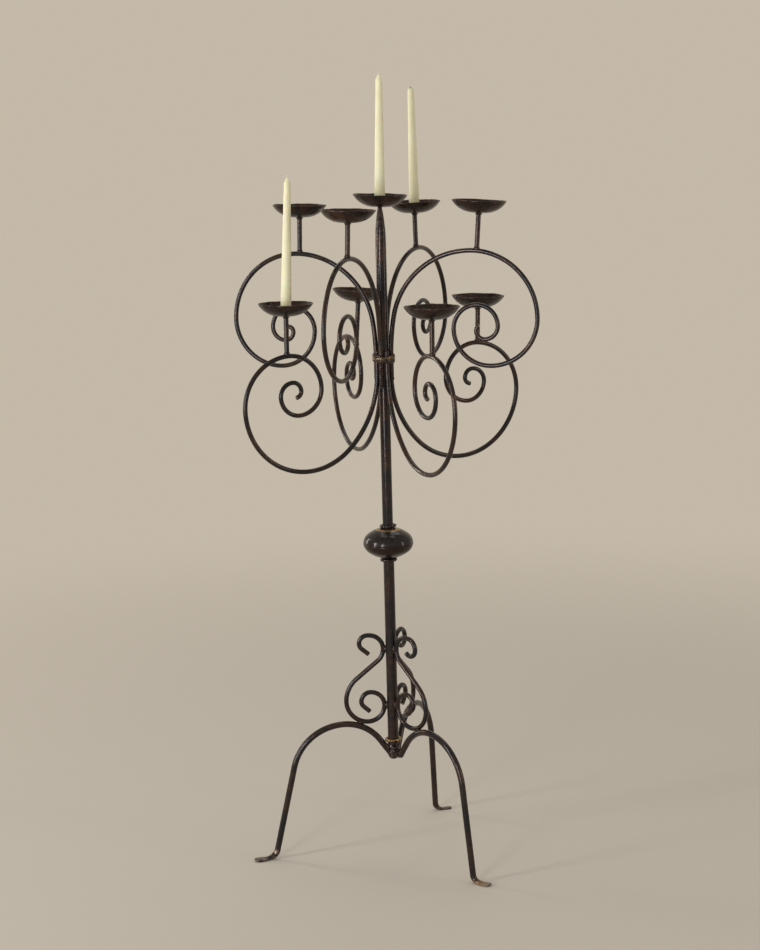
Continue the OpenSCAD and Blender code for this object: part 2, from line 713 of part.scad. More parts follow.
shaft();
knop_upper();
knop_lower();
knop_ring_upper();
knop_ring_lower();
foot_ring();
hub_weld();
leg(0);  // leg_left
leg(1);  // leg_right
leg(2);  // leg_back
scroll(0);  // scroll_left
scroll(1);  // scroll_right
scroll(2);  // scroll_back
arm_collar();
upper_arm(RIGHT);  // upper_arm_right
upper_arm(BACK);  // upper_arm_back
upper_arm(LEFT);  // upper_arm_left
upper_arm(FRONT);  // upper_arm_front
lower_arm(RIGHT);  // lower_arm_right
lower_arm(BACK);  // lower_arm_back
lower_arm(LEFT);  // lower_arm_left
lower_arm(FRONT);  // lower_arm_front
upper_stem(RIGHT);  // upper_stem_right
upper_stem(BACK);  // upper_stem_back
upper_stem(LEFT);  // upper_stem_left
upper_stem(FRONT);  // upper_stem_front
lower_stem(RIGHT);  // lower_stem_right
lower_stem(BACK);  // lower_stem_back
lower_stem(LEFT);  // lower_stem_left
lower_stem(FRONT);  // lower_stem_front
on_shaft() pan();  // top_pan
upper_pan(RIGHT);  // upper_pan_right
upper_pan(BACK);  // upper_pan_back
upper_pan(LEFT);  // upper_pan_left
upper_pan(FRONT);  // upper_pan_front
lower_pan(RIGHT);  // lower_pan_right
lower_pan(BACK);  // lower_pan_back
lower_pan(LEFT);  // lower_pan_left
lower_pan(FRONT);  // lower_pan_front
on_shaft() spike(top_candle_lean);  // top_spike
upper_spike(RIGHT);  // upper_spike_right
upper_spike(BACK);  // upper_spike_back
upper_spike(LEFT);  // upper_spike_left
upper_spike(FRONT);  // upper_spike_front
lower_spike(RIGHT);  // lower_spike_right
lower_spike(BACK);  // lower_spike_back
lower_spike(LEFT);  // lower_spike_left
lower_spike(FRONT);  // lower_spike_front
on_shaft() candle(0, top_candle_lean);  // top_candle
on_upper_stem(BACK) candle(1, back_candle_lean);  // back_candle
on_lower_stem(LEFT) candle(2, left_candle_lean);  // left_candle
on_shaft() wick(0, top_candle_lean, cotton);  // top_wick
on_upper_stem(BACK) wick(1, back_candle_lean, char);  // back_wick
on_lower_stem(LEFT) wick(2, left_candle_lean, cotton);  // left_wick
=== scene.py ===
"""The torchere candle stand: forged iron, dished pans and three taper candles in a plain studio."""

import math

import bmesh
import bpy
from mathutils import Matrix, Vector, noise


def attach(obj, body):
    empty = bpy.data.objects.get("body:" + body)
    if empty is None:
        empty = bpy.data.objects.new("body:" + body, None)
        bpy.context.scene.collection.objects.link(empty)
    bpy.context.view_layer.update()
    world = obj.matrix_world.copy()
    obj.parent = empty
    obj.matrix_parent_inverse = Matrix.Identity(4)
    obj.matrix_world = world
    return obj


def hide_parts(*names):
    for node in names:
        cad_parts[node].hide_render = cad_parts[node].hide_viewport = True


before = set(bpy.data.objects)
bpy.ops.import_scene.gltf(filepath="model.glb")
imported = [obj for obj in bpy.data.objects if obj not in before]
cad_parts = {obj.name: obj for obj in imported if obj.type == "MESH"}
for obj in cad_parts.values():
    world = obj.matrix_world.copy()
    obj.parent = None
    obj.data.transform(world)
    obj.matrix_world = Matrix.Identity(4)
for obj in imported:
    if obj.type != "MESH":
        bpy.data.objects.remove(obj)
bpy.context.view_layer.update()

# Sizes of the stand are in millimetres and angles in degrees. A row of four belongs to the
# arms and a row of three to the feet or to the candles, in the order of their names.
MM = 0.001
ARMS = ("right", "back", "left", "front")
FEET = ("left", "right", "back")
CANDLE_IN = {"top_pan": (0, "top"), "upper_pan_back": (1, "back"), "lower_pan_left": (2, "left")}

# The shaft, and the scratches where brass shows on it: height and bearing of each
SHAFT_D, LOWER_SHAFT_D, SHAFT_TIP_D = 21.5, 22.5, 8
SHAFT_BOTTOM_Z, POINT_START_Z, SHAFT_TOP_Z = 235, 1277, 1351
SCRATCHES = ((848, 259), (828, 270), (764, 270), (1248, 281))
SCRATCH_HALF_H, SCRATCH_HALF_ANGLE, SCRATCH_GILT = 9, 7, 0.72

# The knop and the rings of wire
KNOP_Z, KNOP_D, KNOP_H, KNOP_EDGE_R, KNOP_WALL = 665, 103, 65, 22, 2.5
KNOP_LIP_D, KNOP_LIP_H = 29, 0.8
KNOP_BELT_R = KNOP_D / 2 - KNOP_EDGE_R
KNOP_DOME_R = (KNOP_BELT_R**2 + (KNOP_H / 2) ** 2 - KNOP_EDGE_R**2) / (KNOP_H - 2 * KNOP_EDGE_R)
KNOP_LIP_Z = math.sqrt(KNOP_DOME_R**2 - (KNOP_LIP_D / 2) ** 2) - KNOP_DOME_R + KNOP_H / 2 + KNOP_LIP_H
RING_WIRE_D, RING_OPENING, FOOT_RING_Z = 6.4, 12, 244

# The arms as they were bent
ARM_D, ARM_TIP_D = 10, 9.1
JOINT_GAP = 0.05
BUNDLE_R = SHAFT_D / 2 + JOINT_GAP + ARM_D / 2
UPPER_LEAVE_Z, UPPER_RISE_R, UPPER_RISE_ANGLE = 1050, 464, 9.5
UPPER_BENDS = (165, 137, 96, 74, 48, 42)
UPPER_CURL_RATIO, UPPER_CURL_ANGLE = 0.64, 266
UPPER_TAILS = (46, 44, 47, 61)
UPPER_TURN, UPPER_LIFT = (-14.5, 65, 163.5, 249.5), (-1, 1, 2, 1)
UPPER_OPEN, UPPER_SIZE = (0.5, -2, -1, -0.5), (0.98, 1.01, 0.98, 0.99)
UPPER_CURL, UPPER_TIP_GILT = (-25, -10, 5, -15), (0.1, 0.1, 0.2, 0.5)
LOWER_LEAVE_Z, LOWER_TAIL_Z, LOWER_FALL_R, LOWER_FALL_ANGLE = 1022, 1063, 204, 48.5
LOWER_BENDS = (135, 131, 100, 70, 51, 40)
LOWER_CURL_RATIO, LOWER_CURL_ANGLE = 0.68, 264
LOWER_TURN, LOWER_LIFT = (27, 110, 209, 295), (-8, 7, -2, 4)
LOWER_OPEN, LOWER_SIZE = (-3.5, 13.5, -1, 5), (1.04, 0.99, 1.04, 1.02)
LOWER_CURL, LOWER_TIP_GILT = (5, 0, 0, -10), (0.1, 0.2, 0.1, 0.1)
COLLAR_Z, COLLAR_H, COLLAR_T = 1047, 18, 2.8
COLLAR_COILS, COLLAR_START, COLLAR_TILT = 2.08, 232, 2.2
BEAD_D, BEAD_COUNT, BEAD_SIDE_ANGLE = 5.6, 10, 5

# The stems, pans and spikes
STEM_D, STEM_WELD_D, PAN_WELD_D, WELD_H = 10, 12.5, 15, 5
UPPER_STEM_R, UPPER_STEM_LEN, UPPER_LEAN = (196, 173, 172, 185), (75, 73, 74, 70), (4, -1, 1.5, 2)
LOWER_STEM_R, LOWER_STEM_LEN, LOWER_LEAN = (219, 166, 218, 222), (73, 95, 80, 73), (1.5, 4, 0.5, 0.5)
TOP_LEAN = 2.5
PAN_D, PAN_DEPTH, PAN_FLAT_D, PAN_WALL, PAN_RIM_WALL = 110, 24, 26, 2, 1.5
SPIKE_D, SPIKE_H, SPIKE_POINT_H = 5, 10, 5

# The candles
CANDLE_D, CANDLE_TOP_D = 22.2, 13.2
CANDLE_LEN, CANDLE_LEAN = (257, 252, 266), (1, -0.5, 2.5)
CANDLE_TIP_H, CANDLE_TIP_D = (9, 3, 10), (4, 10, 4)
WICK_D, WICK_OUT, WICK_IN = 2, (4, 3, 8), 20
SPIKE_GAP, SEAT_GAP = 0.1, 0.3

# The legs. A toe's shape is its thickness, how far its end turns up, how much of its width
# the end is rounded over, and how blunt that leaves it
LEG_D, LEG_TURN, LEG_START_R = 13, (188, 308, 69.5), (5.5, 23, 24)
LEG_ARCH_Z, LEG_RISE_ANGLE, LEG_RISE_LEN = 283, 54.5, 38.4
LEG_INNER_R, LEG_OUTER_R, LEG_DROP_ANGLE = 91.5, (110, 103.5, 122), (77, 81, 84.5)
HEEL_R, TOE_LEN, TOE_TURN, TOE_W = (17, 10, 10), (33, 32, 27), (7, 17, -54), (23, 18, 13)
TOE_SHAPE = ((5, 0, 0.28, 0.6), (5, 2.4, 0.5, 0.9), (4.5, 0.5, 0.4, 0.8))
TOE_GILT = (0.2, 0.75, 0.1)
HUB_H, HUB_LOW_D, HUB_TOP_D, HUB_LUMP_D = 32, 16, 24, 16

# The scrolls between the shaft and the legs
SCROLL_D, SCROLL_TIP_D, SCROLL_TURN = 10.4, 9.9, (184.5, 312, 64)
SCROLL_R = LOWER_SHAFT_D / 2 + JOINT_GAP + SCROLL_D / 2
SCROLL_TOUCH_Z, SCROLL_SLOPE = 440, 50.5
SCROLL_NECK_R, SCROLL_BELLY_R, SCROLL_BOWL_R, SCROLL_INNER_R = 33, 62, 45, 28.5
SCROLL_CURL_RATIO, SCROLL_CURL_ANGLE, SCROLL_CURL_LEN = 0.69, 138, 17
SCROLL_RISE_R, SCROLL_OVER_LEN, SCROLL_OVER_R = 29.8, (3, 6, 0), (17, 21.3, 21.3)
SCROLL_TIP_R, SCROLL_TIP_ANGLE, SCROLL_TIP_LEN = 15.2, (50, 127, 127), (18, 3, 0)
SCROLL_WELD_D, SCROLL_WELD_SHARES, LEG_TOUCH_R = 13, (0.78, 0.92, 0.7), 75

# The studio, in metres. The camera is the photograph's own, worked out from the feet and pans
CAMERA_PLACE, CAMERA_YAW, CAMERA_PITCH, CAMERA_ROLL = (0, -4.167, 1.562), -0.185, 10.278, -1.487
FOCAL_PIXELS, PICTURE_H, FILM_H = 2069.7, 950, 36
FLOOR_R, FADE_FROM, FADE_TO = 14, 1.0, 3.4


def sin(degrees):
    return math.sin(math.radians(degrees))


def cos(degrees):
    return math.cos(math.radians(degrees))


def mix(a, b, share):
    return a + (b - a) * share


def ease(x, low, high):
    """0 below low, 1 above high, smooth between them."""
    t = min(1, max(0, (x - low) / (high - low)))
    return t * t * (3 - 2 * t)


def spoke(angle):
    """The way outwards at an angle round the upright axis."""
    return Vector((cos(angle), sin(angle), 0))


def sideways(angle):
    """The way round the upright axis, square to the spoke at that angle."""
    return Vector((-sin(angle), cos(angle), 0))


def angles(sides):
    """The angles of the points on a ring with that many sides."""
    return [360 * j / sides for j in range(sides)]


def upright(height):
    return Vector((0, 0, height))


def raised(height):
    return Matrix.Translation((0, 0, height))


def leaning(angle):
    """A lean towards +X."""
    return Matrix.Rotation(math.radians(angle), 4, "Y")


# ---- finishes


class Shade:
    """A value, colour or shader from a node. Arithmetic on a value adds the nodes for it."""

    def __init__(self, nodes, socket):
        self.nodes, self.socket = nodes, socket

    def _math(self, operation, *values):
        return self.nodes.node("ShaderNodeMath", {"operation": operation}, values)

    def __add__(self, other):
        return self._math("ADD", self, other)

    def __sub__(self, other):
        return self._math("SUBTRACT", self, other)

    def __rsub__(self, other):
        return self._math("SUBTRACT", other, self)

    def __mul__(self, other):
        return self._math("MULTIPLY", self, other)

    __radd__, __rmul__ = __add__, __mul__

    def between(self, low, high):
        """0 where the value is below low, 1 above high, smooth between them."""
        sockets = {"Value": self, "From Min": low, "From Max": high}
        return self.nodes.node("ShaderNodeMapRange", {"interpolation_type": "SMOOTHSTEP"}, sockets)


class Nodes:
    """The nodes of a material or of the world."""

    def __init__(self, tree):
        self.tree = tree

    def node(self, kind, settings=None, sockets=(), out=0):
        """Adds a node: settings first, then values or links for sockets by name or in order."""
        made = self.tree.nodes.new(kind)
        for key, value in (settings or {}).items():
            setattr(made, key, value)
        pairs = sockets.items() if isinstance(sockets, dict) else enumerate(sockets)
        for key, value in pairs:
            self.join(made.inputs[key], value)
        return Shade(self, made.outputs[out])

    def join(self, socket, value):
        if isinstance(value, Shade):
            self.tree.links.new(value.socket, socket)
        else:
            socket.default_value = value

    def seen(self):
        """1 for what the camera, a reflection or glass sees, 0 for what lights the object."""
        camera = self.node("ShaderNodeLightPath", out="Is Camera Ray")
        reflected = self.node("ShaderNodeLightPath", out="Is Glossy Ray")
        through = self.node("ShaderNodeLightPath", out="Is Transmission Ray")
        return 1 - (1 - camera) * (1 - reflected) * (1 - through)


class Finish(Nodes):
    """A material that keeps a slot's name, with a principled shader to feed. Constants go on its own
    sockets.
    """

    def __init__(self, name, slot=None, **constants):
        self.slot = slot
        self.material = bpy.data.materials.new(name)
        self.material.use_nodes = True
        super().__init__(self.material.node_tree)
        self.shader = self.tree.nodes["Principled BSDF"]
        for socket, value in constants.items():
            self.shader.inputs[socket.replace("_", " ")].default_value = value

    def feed(self, socket, value):
        self.join(self.shader.inputs[socket], value)

    def place(self):
        """Where a point is on the piece, in metres, moving with it."""
        return self.node("ShaderNodeTexCoord", out="Object")

    def cloud(self, place, size_mm, detail=3, rough=0.55):
        """Soft patches about that size, from 0 to 1."""
        sockets = {"Vector": place, "Scale": 1 / (size_mm * MM), "Detail": detail, "Roughness": rough}
        return self.node("ShaderNodeTexNoise", {"noise_dimensions": "3D"}, sockets)

    def dents(self, place, size_mm):
        """Rounded hammer dents about that size, 0 in the middle of each."""
        settings = {"feature": "SMOOTH_F1", "voronoi_dimensions": "3D"}
        sockets = {"Vector": place, "Scale": 1 / (size_mm * MM), "Smoothness": 0.6}
        return self.node("ShaderNodeTexVoronoi", settings, sockets)

    def mark(self, name):
        """A value that the mesh carries at each point."""
        return self.node("ShaderNodeAttribute", {"attribute_name": name}, out="Fac")

    def blend(self, share, a, b):
        """Colour a where share is 0 and b where it is 1. Sockets 6 and 7 are the colours'."""
        return self.node("ShaderNodeMix", {"data_type": "RGBA"}, {"Factor": share, 6: a, 7: b}, out=2)

    def relief(self, height, depth_mm):
        """Feeds a height from 0 to 1 as relief of that depth."""
        sockets = {"Strength": 1.0, "Distance": depth_mm * MM, "Height": height}
        self.feed("Normal", self.node("ShaderNodeBump", {}, sockets))


def rgb(red, green, blue):
    return (red, green, blue, 1)


def forged_finish(name, slot, scale_colour, brown_colour, brown_share, shine, dent):
    """Blackened and waxed bar: brown where the black has worn thin, with rust and brass flecks."""
    f = Finish(name, slot, Coat_Roughness=0.1, Specular_IOR_Level=0.24)
    place = f.place()
    broad, middle, fine = f.cloud(place, 70), f.cloud(place, 11, 4), f.cloud(place, 1.6, 2)
    worn, gilt = f.mark("worn"), f.mark("gilt")
    wear = brown_share * 0.3
    brown = (broad * 0.6 + middle * 0.4).between(0.62 - wear, 0.78 - wear)
    rubbed = (worn * 1.3 + middle * 0.9 - 0.85).between(0, 0.5)
    rust = (f.cloud(place, 4.5, 5, 0.7) * 0.75 + broad * 0.25).between(0.63, 0.7)
    flecks = (f.cloud(place, 2.6, 2) * 0.6 + gilt * 0.5).between(0.56, 0.84)
    colour = f.blend(brown, scale_colour, brown_colour)
    colour = f.blend(fine.between(0.5, 0.75) * 0.2, colour, rgb(0.06, 0.04, 0.032))
    colour = f.blend(rust * 0.75, colour, rgb(0.085, 0.03, 0.013))
    colour = f.blend(rubbed, colour, rgb(0.16, 0.115, 0.088))
    colour = f.blend(flecks, colour, rgb(0.42, 0.25, 0.09))
    f.feed("Base Color", colour)
    f.feed("Metallic", 0.5 + rubbed * 0.25 + flecks * 0.2 - rust * 0.3)
    f.feed("Roughness", shine + middle * 0.12 + rust * 0.25)
    f.feed("Coat Weight", 0.22 - rust * 0.2)
    hammering = f.dents(place, 12) * dent + f.cloud(place, 20, 1) * (0.2 + dent)
    f.relief(hammering + fine * 0.004 + rust * 0.03, 0.5)
    return f


def pan_finish():
    """Hammered sheet: brown-black outside, olive brown inside, rubbed bright along the rim."""
    f = Finish("hammered_pan_sheet", "pan_iron", Coat_Roughness=0.14, Specular_IOR_Level=0.2)
    place = f.place()
    broad, middle, fine = f.cloud(place, 38, 4), f.cloud(place, 7, 5, 0.6), f.cloud(place, 1.2, 2)
    worn, inside = f.mark("worn"), f.mark("inside")
    patches = (broad * 0.5 + middle * 0.5).between(0.4, 0.66)
    outer = f.blend(patches, rgb(0.012, 0.0085, 0.007), rgb(0.05, 0.021, 0.0125))
    patches = (broad * 0.4 + middle * 0.6).between(0.38, 0.64)
    inner = f.blend(patches, rgb(0.012, 0.0075, 0.006), rgb(0.05, 0.026, 0.0155))
    rust = (middle * 0.7 + fine * 0.3).between(0.58, 0.67)
    rubbed = (worn * 1.25 + middle * 0.8 - 0.95).between(0, 0.5)
    colour = f.blend(rust * 0.5, f.blend(inside, outer, inner), rgb(0.09, 0.033, 0.016))
    f.feed("Base Color", f.blend(rubbed, colour, rgb(0.15, 0.1, 0.07)))
    f.feed("Metallic", 0.45 + rubbed * 0.3)
    f.feed("Roughness", 0.2 + middle * 0.22 + rust * 0.14)
    f.feed("Coat Weight", 0.2 - rust * 0.15)
    f.relief(f.dents(place, 6.5) * 0.6 + f.cloud(place, 12, 2) * 0.4 + fine * 0.04, 0.5)
    return f


def wax_finish():
    """Ivory wax, a little yellower at the foot, with the faint ripples of dipping."""
    f = Finish("ivory_wax", "wax", Subsurface_Weight=0.5, Specular_IOR_Level=0.45)
    f.feed("Subsurface Scale", 0.007)
    f.feed("Subsurface Radius", (1.0, 0.7, 0.3))
    place = f.place()
    broad, middle, fine = f.cloud(place, 45), f.cloud(place, 9, 3), f.cloud(place, 1.5, 2)
    patches = (broad * 0.7 + middle * 0.3).between(0.3, 0.7)
    colour = f.blend(patches, rgb(0.77, 0.71, 0.46), rgb(0.82, 0.77, 0.53))
    colour = f.blend(f.mark("foot") * 0.5, colour, rgb(0.72, 0.61, 0.3))
    f.feed("Base Color", f.blend(f.mark("worn"), colour, rgb(0.16, 0.12, 0.07)))
    f.feed("Roughness", 0.38 + middle * 0.14 + fine * 0.05)
    f.relief(broad * 0.5 + middle * 0.35 + fine * 0.1, 0.35)
    return f


def cord_finish(name, slot, light, dark):
    """Plaited cotton of a wick."""
    f = Finish(name, slot, Roughness=0.9)
    strands = f.cloud(f.place(), 0.5, 3)
    f.feed("Base Color", f.blend(strands.between(0.35, 0.65), light, dark))
    f.relief(strands, 0.2)
    return f


def weld_finish():
    """Weld metal: rounded drips, glossier than the bar, with brown and brass in the hollows."""
    f = Finish("weld_metal", "black_iron", Coat_Roughness=0.1, Specular_IOR_Level=0.32)
    place = f.place()
    middle, fine = f.cloud(place, 5, 4), f.cloud(place, 1.2, 2)
    gilt = f.mark("gilt")
    brown = middle.between(0.42, 0.62)
    flecks = (f.cloud(place, 2.2, 2) + gilt * 0.12).between(0.68, 0.76)
    colour = f.blend(brown, rgb(0.016, 0.013, 0.013), rgb(0.044, 0.022, 0.014))
    colour = f.blend(gilt * middle.between(0.36, 0.6) * 0.7, colour, rgb(0.2, 0.12, 0.055))
    f.feed("Base Color", f.blend(flecks, colour, rgb(0.36, 0.23, 0.1)))
    f.feed("Metallic", 0.45 + flecks * 0.4)
    f.feed("Roughness", 0.16 + middle * 0.2)
    f.feed("Coat Weight", 0.3 - brown * 0.2)
    f.relief(f.dents(place, 2.6) * 0.4 + fine * 0.08, 0.4)
    return f


BLACK_IRON = forged_finish(
    "black_forged_iron", "black_iron", rgb(0.0165, 0.0145, 0.0155), rgb(0.044, 0.0235, 0.016),
    brown_share=0.6, shine=0.13, dent=0.1,
)
BROWN_IRON = forged_finish(
    "brown_forged_iron", "brown_iron", rgb(0.0185, 0.0155, 0.016), rgb(0.046, 0.026, 0.018),
    brown_share=0.7, shine=0.14, dent=0.1,
)
KNOP_IRON = forged_finish(
    "knop_iron", "black_iron", rgb(0.018, 0.0155, 0.016), rgb(0.042, 0.024, 0.0165),
    brown_share=0.5, shine=0.16, dent=0.6,
)
# The knop's lower half: the knop iron painted about half as dark, as painted shade where it faces the
# floor
KNOP_PAINTED_SHADE = forged_finish(
    "knop_iron_painted_shade", "black_iron", rgb(0.009, 0.006, 0.005), rgb(0.022, 0.01, 0.0058),
    brown_share=0.9, shine=0.2, dent=0.5,
)
WELD = weld_finish()
PAN_IRON = pan_finish()
WAX = wax_finish()
COTTON = cord_finish("wick_cotton", "wick", rgb(0.8, 0.78, 0.7), rgb(0.55, 0.52, 0.44))
CHARRED = cord_finish("charred_wick", "burnt_wick", rgb(0.02, 0.018, 0.017), rgb(0.05, 0.042, 0.036))


# ---- the bench

MARKS = ("worn", "gilt", "inside", "foot")


def centre(ring):
    return sum((v.co for v in ring), Vector()) / len(ring)


class Work:
    """A piece on the bench, in millimetres: skins of rings, each point with its marks."""

    def __init__(self):
        self.bm = bmesh.new()
        self.marks = {name: self.bm.verts.layers.float.new(name) for name in MARKS}

    def ring(self, points, **marks):
        """Adds one ring of points. A mark is one number, or a list with one for each point."""
        made = [self.bm.verts.new(p) for p in points]
        for name, value in marks.items():
            for k, vert in enumerate(made):
                vert[self.marks[name]] = value[k] if isinstance(value, list) else value
        return made

    def skin(self, rings):
        """Joins each ring to the next."""
        for a, b in zip(rings, rings[1:]):
            for k in range(len(a)):
                self.bm.faces.new((a[k - 1], a[k], b[k], b[k - 1]))

    def cap(self, ring, crown=0.0, inwards=None):
        """Closes a ring with a fan. Its edge stays sharp, and the middle stands proud by crown."""
        middle = centre(ring)
        if inwards is not None:
            middle = middle - inwards * crown
        tip = self.bm.verts.new(middle)
        for layer in self.marks.values():
            tip[layer] = ring[0][layer]
        for k in range(len(ring)):
            self.bm.faces.new((ring[k - 1], ring[k], tip))
        for k in range(len(ring)):
            self.bm.edges.get((ring[k - 1], ring[k])).smooth = False

    def cap_ends(self, rings):
        self.cap(rings[0])
        self.cap(rings[-1])

    def lump(self, middle, size, seed, flat=1.0, **marks):
        """A rounded lump of weld. Each seed gives another one."""
        made = bmesh.ops.create_icosphere(self.bm, subdivisions=3, radius=size / 2)["verts"]
        for vert in made:
            away = vert.co.normalized()
            broad = noise.noise(away * 1.3 + Vector((seed, 3.1 * seed, 0)))
            fine = noise.noise(away * 4 + Vector((0, seed, 0)))
            swell = 1 + 0.16 * broad + 0.05 * fine
            vert.co = Vector((vert.co.x, vert.co.y, vert.co.z * flat)) * swell + Vector(middle)
            for name, value in marks.items():
                vert[self.marks[name]] = value

    def done(self, node, how, finish, body="stand", place=None):
        """Takes the piece off the bench: it stands for its node and moves with its body."""
        name = f"{node}_{how}"
        bmesh.ops.recalc_face_normals(self.bm, faces=self.bm.faces[:])
        to_frame = Matrix.Scale(MM, 4) @ (place or Matrix())
        bmesh.ops.transform(self.bm, matrix=to_frame, verts=self.bm.verts[:])
        mesh = bpy.data.meshes.new(name)
        for face in self.bm.faces:
            face.smooth = True
        self.bm.to_mesh(mesh)
        self.bm.free()
        mesh.materials.append(finish.material)
        piece = bpy.data.objects.new(name, mesh)
        bpy.context.scene.collection.objects.link(piece)
        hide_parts(node)
        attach(piece, body)
        return piece


def hammered(point, size, depth):
    """How far the hammer and the fire have moved the surface at a point."""
    p = Vector(point) / size
    return depth * (noise.noise(p) + 0.4 * noise.noise(p * 2.7))


def lathe(work, profile, sides, dent, dent_size, shift):
    """Turns a profile of (radius, height) or (radius, height, marks) round the upright axis.

    The dents fade towards the axis, and a shift gives the piece dents of its own.
    """
    rings = []
    for r, z, *marks in profile:
        points = []
        for phi in angles(sides):
            out = spoke(phi)
            at = out * r + upright(z)
            points.append(at + out * hammered(at + shift, dent_size, dent) * min(1, r / 4))
        rings.append(work.ring(points, **(marks[0] if marks else {})))
    work.skin(rings)
    return rings


# ---- bars


def follow(start, bends, spacing=3.5):
    """Walks along a bar from (distance from the shaft, height, heading).

    A bend is (radius, turn), and (0, length) is a straight stretch. Gives the places on the
    way: (distance from the shaft, height, heading, length so far).
    """
    r, z, heading = start
    places, length = [(r, z, heading, 0.0)], 0.0
    for radius, turn in bends:
        straight = radius == 0
        run = turn if straight else radius * math.radians(abs(turn))
        count = max(2, math.ceil(run / spacing), 0 if straight else math.ceil(abs(turn) / 6))
        for k in range(1, count + 1):
            part = turn * k / count
            if straight:
                place = (r + part * cos(heading), z + part * sin(heading), heading)
            else:
                side, turned = math.copysign(radius, turn), heading + part
                out, up = side * (sin(turned) - sin(heading)), side * (cos(turned) - cos(heading))
                place = (r + out, z - up, turned)
            places.append((*place, length + run * k / count))
        r, z, heading = place
        length += run
    return places


def curl(radius, ratio, angle, side):
    """The bends of a curl that tightens by a ratio until its angle is used up."""
    bends = []
    while angle > 0:
        radius *= ratio
        bends.append((radius, side * min(90, angle)))
        angle -= 90
    return bends


def upper_bar(i):
    """Start and bends of an upper arm, from its tail in the bundle to the end of its curl."""
    size = UPPER_SIZE[i]
    bends = [(0, UPPER_TAILS[i]), (UPPER_RISE_R, -(UPPER_RISE_ANGLE + UPPER_OPEN[i]))]
    bends += [(UPPER_BENDS[0] * size, UPPER_RISE_ANGLE - 90), (UPPER_BENDS[1] * size, -90)]
    bends += [(r, -90) for r in UPPER_BENDS[2:]]
    bends += curl(UPPER_BENDS[-1], UPPER_CURL_RATIO, UPPER_CURL_ANGLE + UPPER_CURL[i], -1)
    return (BUNDLE_R, UPPER_LEAVE_Z + UPPER_LIFT[i] - UPPER_TAILS[i], 90), bends


def lower_bar(i):
    """The same for a lower arm, whose tail is its top end."""
    size, tail = LOWER_SIZE[i], LOWER_TAIL_Z - LOWER_LEAVE_Z - LOWER_LIFT[i]
    bends = [(0, tail), (LOWER_FALL_R, LOWER_FALL_ANGLE + LOWER_OPEN[i])]
    bends += [(LOWER_BENDS[0] * size, 90 - LOWER_FALL_ANGLE), (LOWER_BENDS[1] * size, 90)]
    bends += [(r, 90) for r in LOWER_BENDS[2:]]
    bends += curl(LOWER_BENDS[-1], LOWER_CURL_RATIO, LOWER_CURL_ANGLE + LOWER_CURL[i], 1)
    return (BUNDLE_R, LOWER_TAIL_Z, -90), bends


def crown(path, r):
    """Height of the middle of a bar where it passes over a distance from the shaft."""
    steps = [(a, b) for a, b in zip(path, path[1:]) if a[0] != b[0] and (a[0] - r) * (b[0] - r) <= 0]
    return max(mix(a[1], b[1], (r - a[0]) / (b[0] - a[0])) for a, b in steps)


def draw_bar(work, path, bearing, d_start, d_end, sides=20, gilt_tip=0.0, shape=None, draw=0.09):
    """Draws a round bar along a path in the upright plane at a bearing round the shaft.

    The bearing is a number, or a function of the length along the bar. A shape bends the
    round section: it is a function of that length and of a point's rise and side.
    """
    turn_at = bearing if callable(bearing) else lambda length: bearing
    total, rings = path[-1][3], []
    middle = spoke(turn_at(0)) * path[0][0] + upright(path[0][1])
    for k, (r, z, heading, length) in enumerate(path):
        share, turn = length / total, turn_at(length)
        d = mix(d_start, d_end, share)
        out, across = spoke(turn), sideways(turn)
        if k > 0:
            middle = middle + out * (r - path[k - 1][0]) + upright(z - path[k - 1][1])
        up = out * -sin(heading) + upright(cos(heading))
        points, worn = [], []
        for phi in angles(sides):
            rise, side = cos(phi) * d / 2, sin(phi) * d / 2
            if shape:
                rise, side = shape(length, rise, side)
            point = middle + up * rise + across * side
            point += (point - middle).normalized() * hammered(point, 13, draw)
            points.append(point)
            worn.append(0.35 * max(0, noise.noise(point / 45)) + 0.25 * (share > 0.985))
        rings.append(work.ring(points, worn=worn, gilt=gilt_tip * ease(share, 0.86, 1)))
    for at, sign in ((0, 1), (-1, -1)):
        heading, turn = path[at][2], turn_at(path[at][3])
        along = Vector((cos(turn) * cos(heading), sin(turn) * cos(heading), sin(heading)))
        inwards, edge = along * sign, rings[at]
        chamfer = [mix(centre(edge), v.co, 0.86) - inwards * 0.5 for v in edge]
        small = work.ring(chamfer, worn=0.55, gilt=gilt_tip)
        rings = [small] + rings if at == 0 else rings + [small]
        work.cap(small, 0.3, inwards)
    work.skin(rings)
    return rings


def arm_pieces():
    """The eight arms. The front ones are browner, and the upper front one has weld beads."""
    for i, where in enumerate(ARMS):
        finish = BROWN_IRON if where == "front" else BLACK_IRON
        upper = ("upper", upper_bar(i), UPPER_TURN[i], UPPER_TIP_GILT[i])
        lower = ("lower", lower_bar(i), LOWER_TURN[i], LOWER_TIP_GILT[i])
        for level, (start, bends), turn, gilt in (upper, lower):
            work = Work()
            draw_bar(work, follow(start, bends), turn, ARM_D, ARM_TIP_D, gilt_tip=gilt)
            if level == "upper":
                tail_end(work, turn, start[1], i)
            if (level, where) == ("upper", "front"):
                bead_row(work, start[1])
            work.done(f"{level}_arm_{where}", "forged", finish)


def tail_end(work, turn, z, seed):
    """A little weld where an upper arm's tail ends against the bundle."""
    at = spoke(turn) * (BUNDLE_R + 0.8) + upright(z + 1.5)
    work.lump(at, ARM_D * 0.95, 3.7 * seed + 1, gilt=0.2)


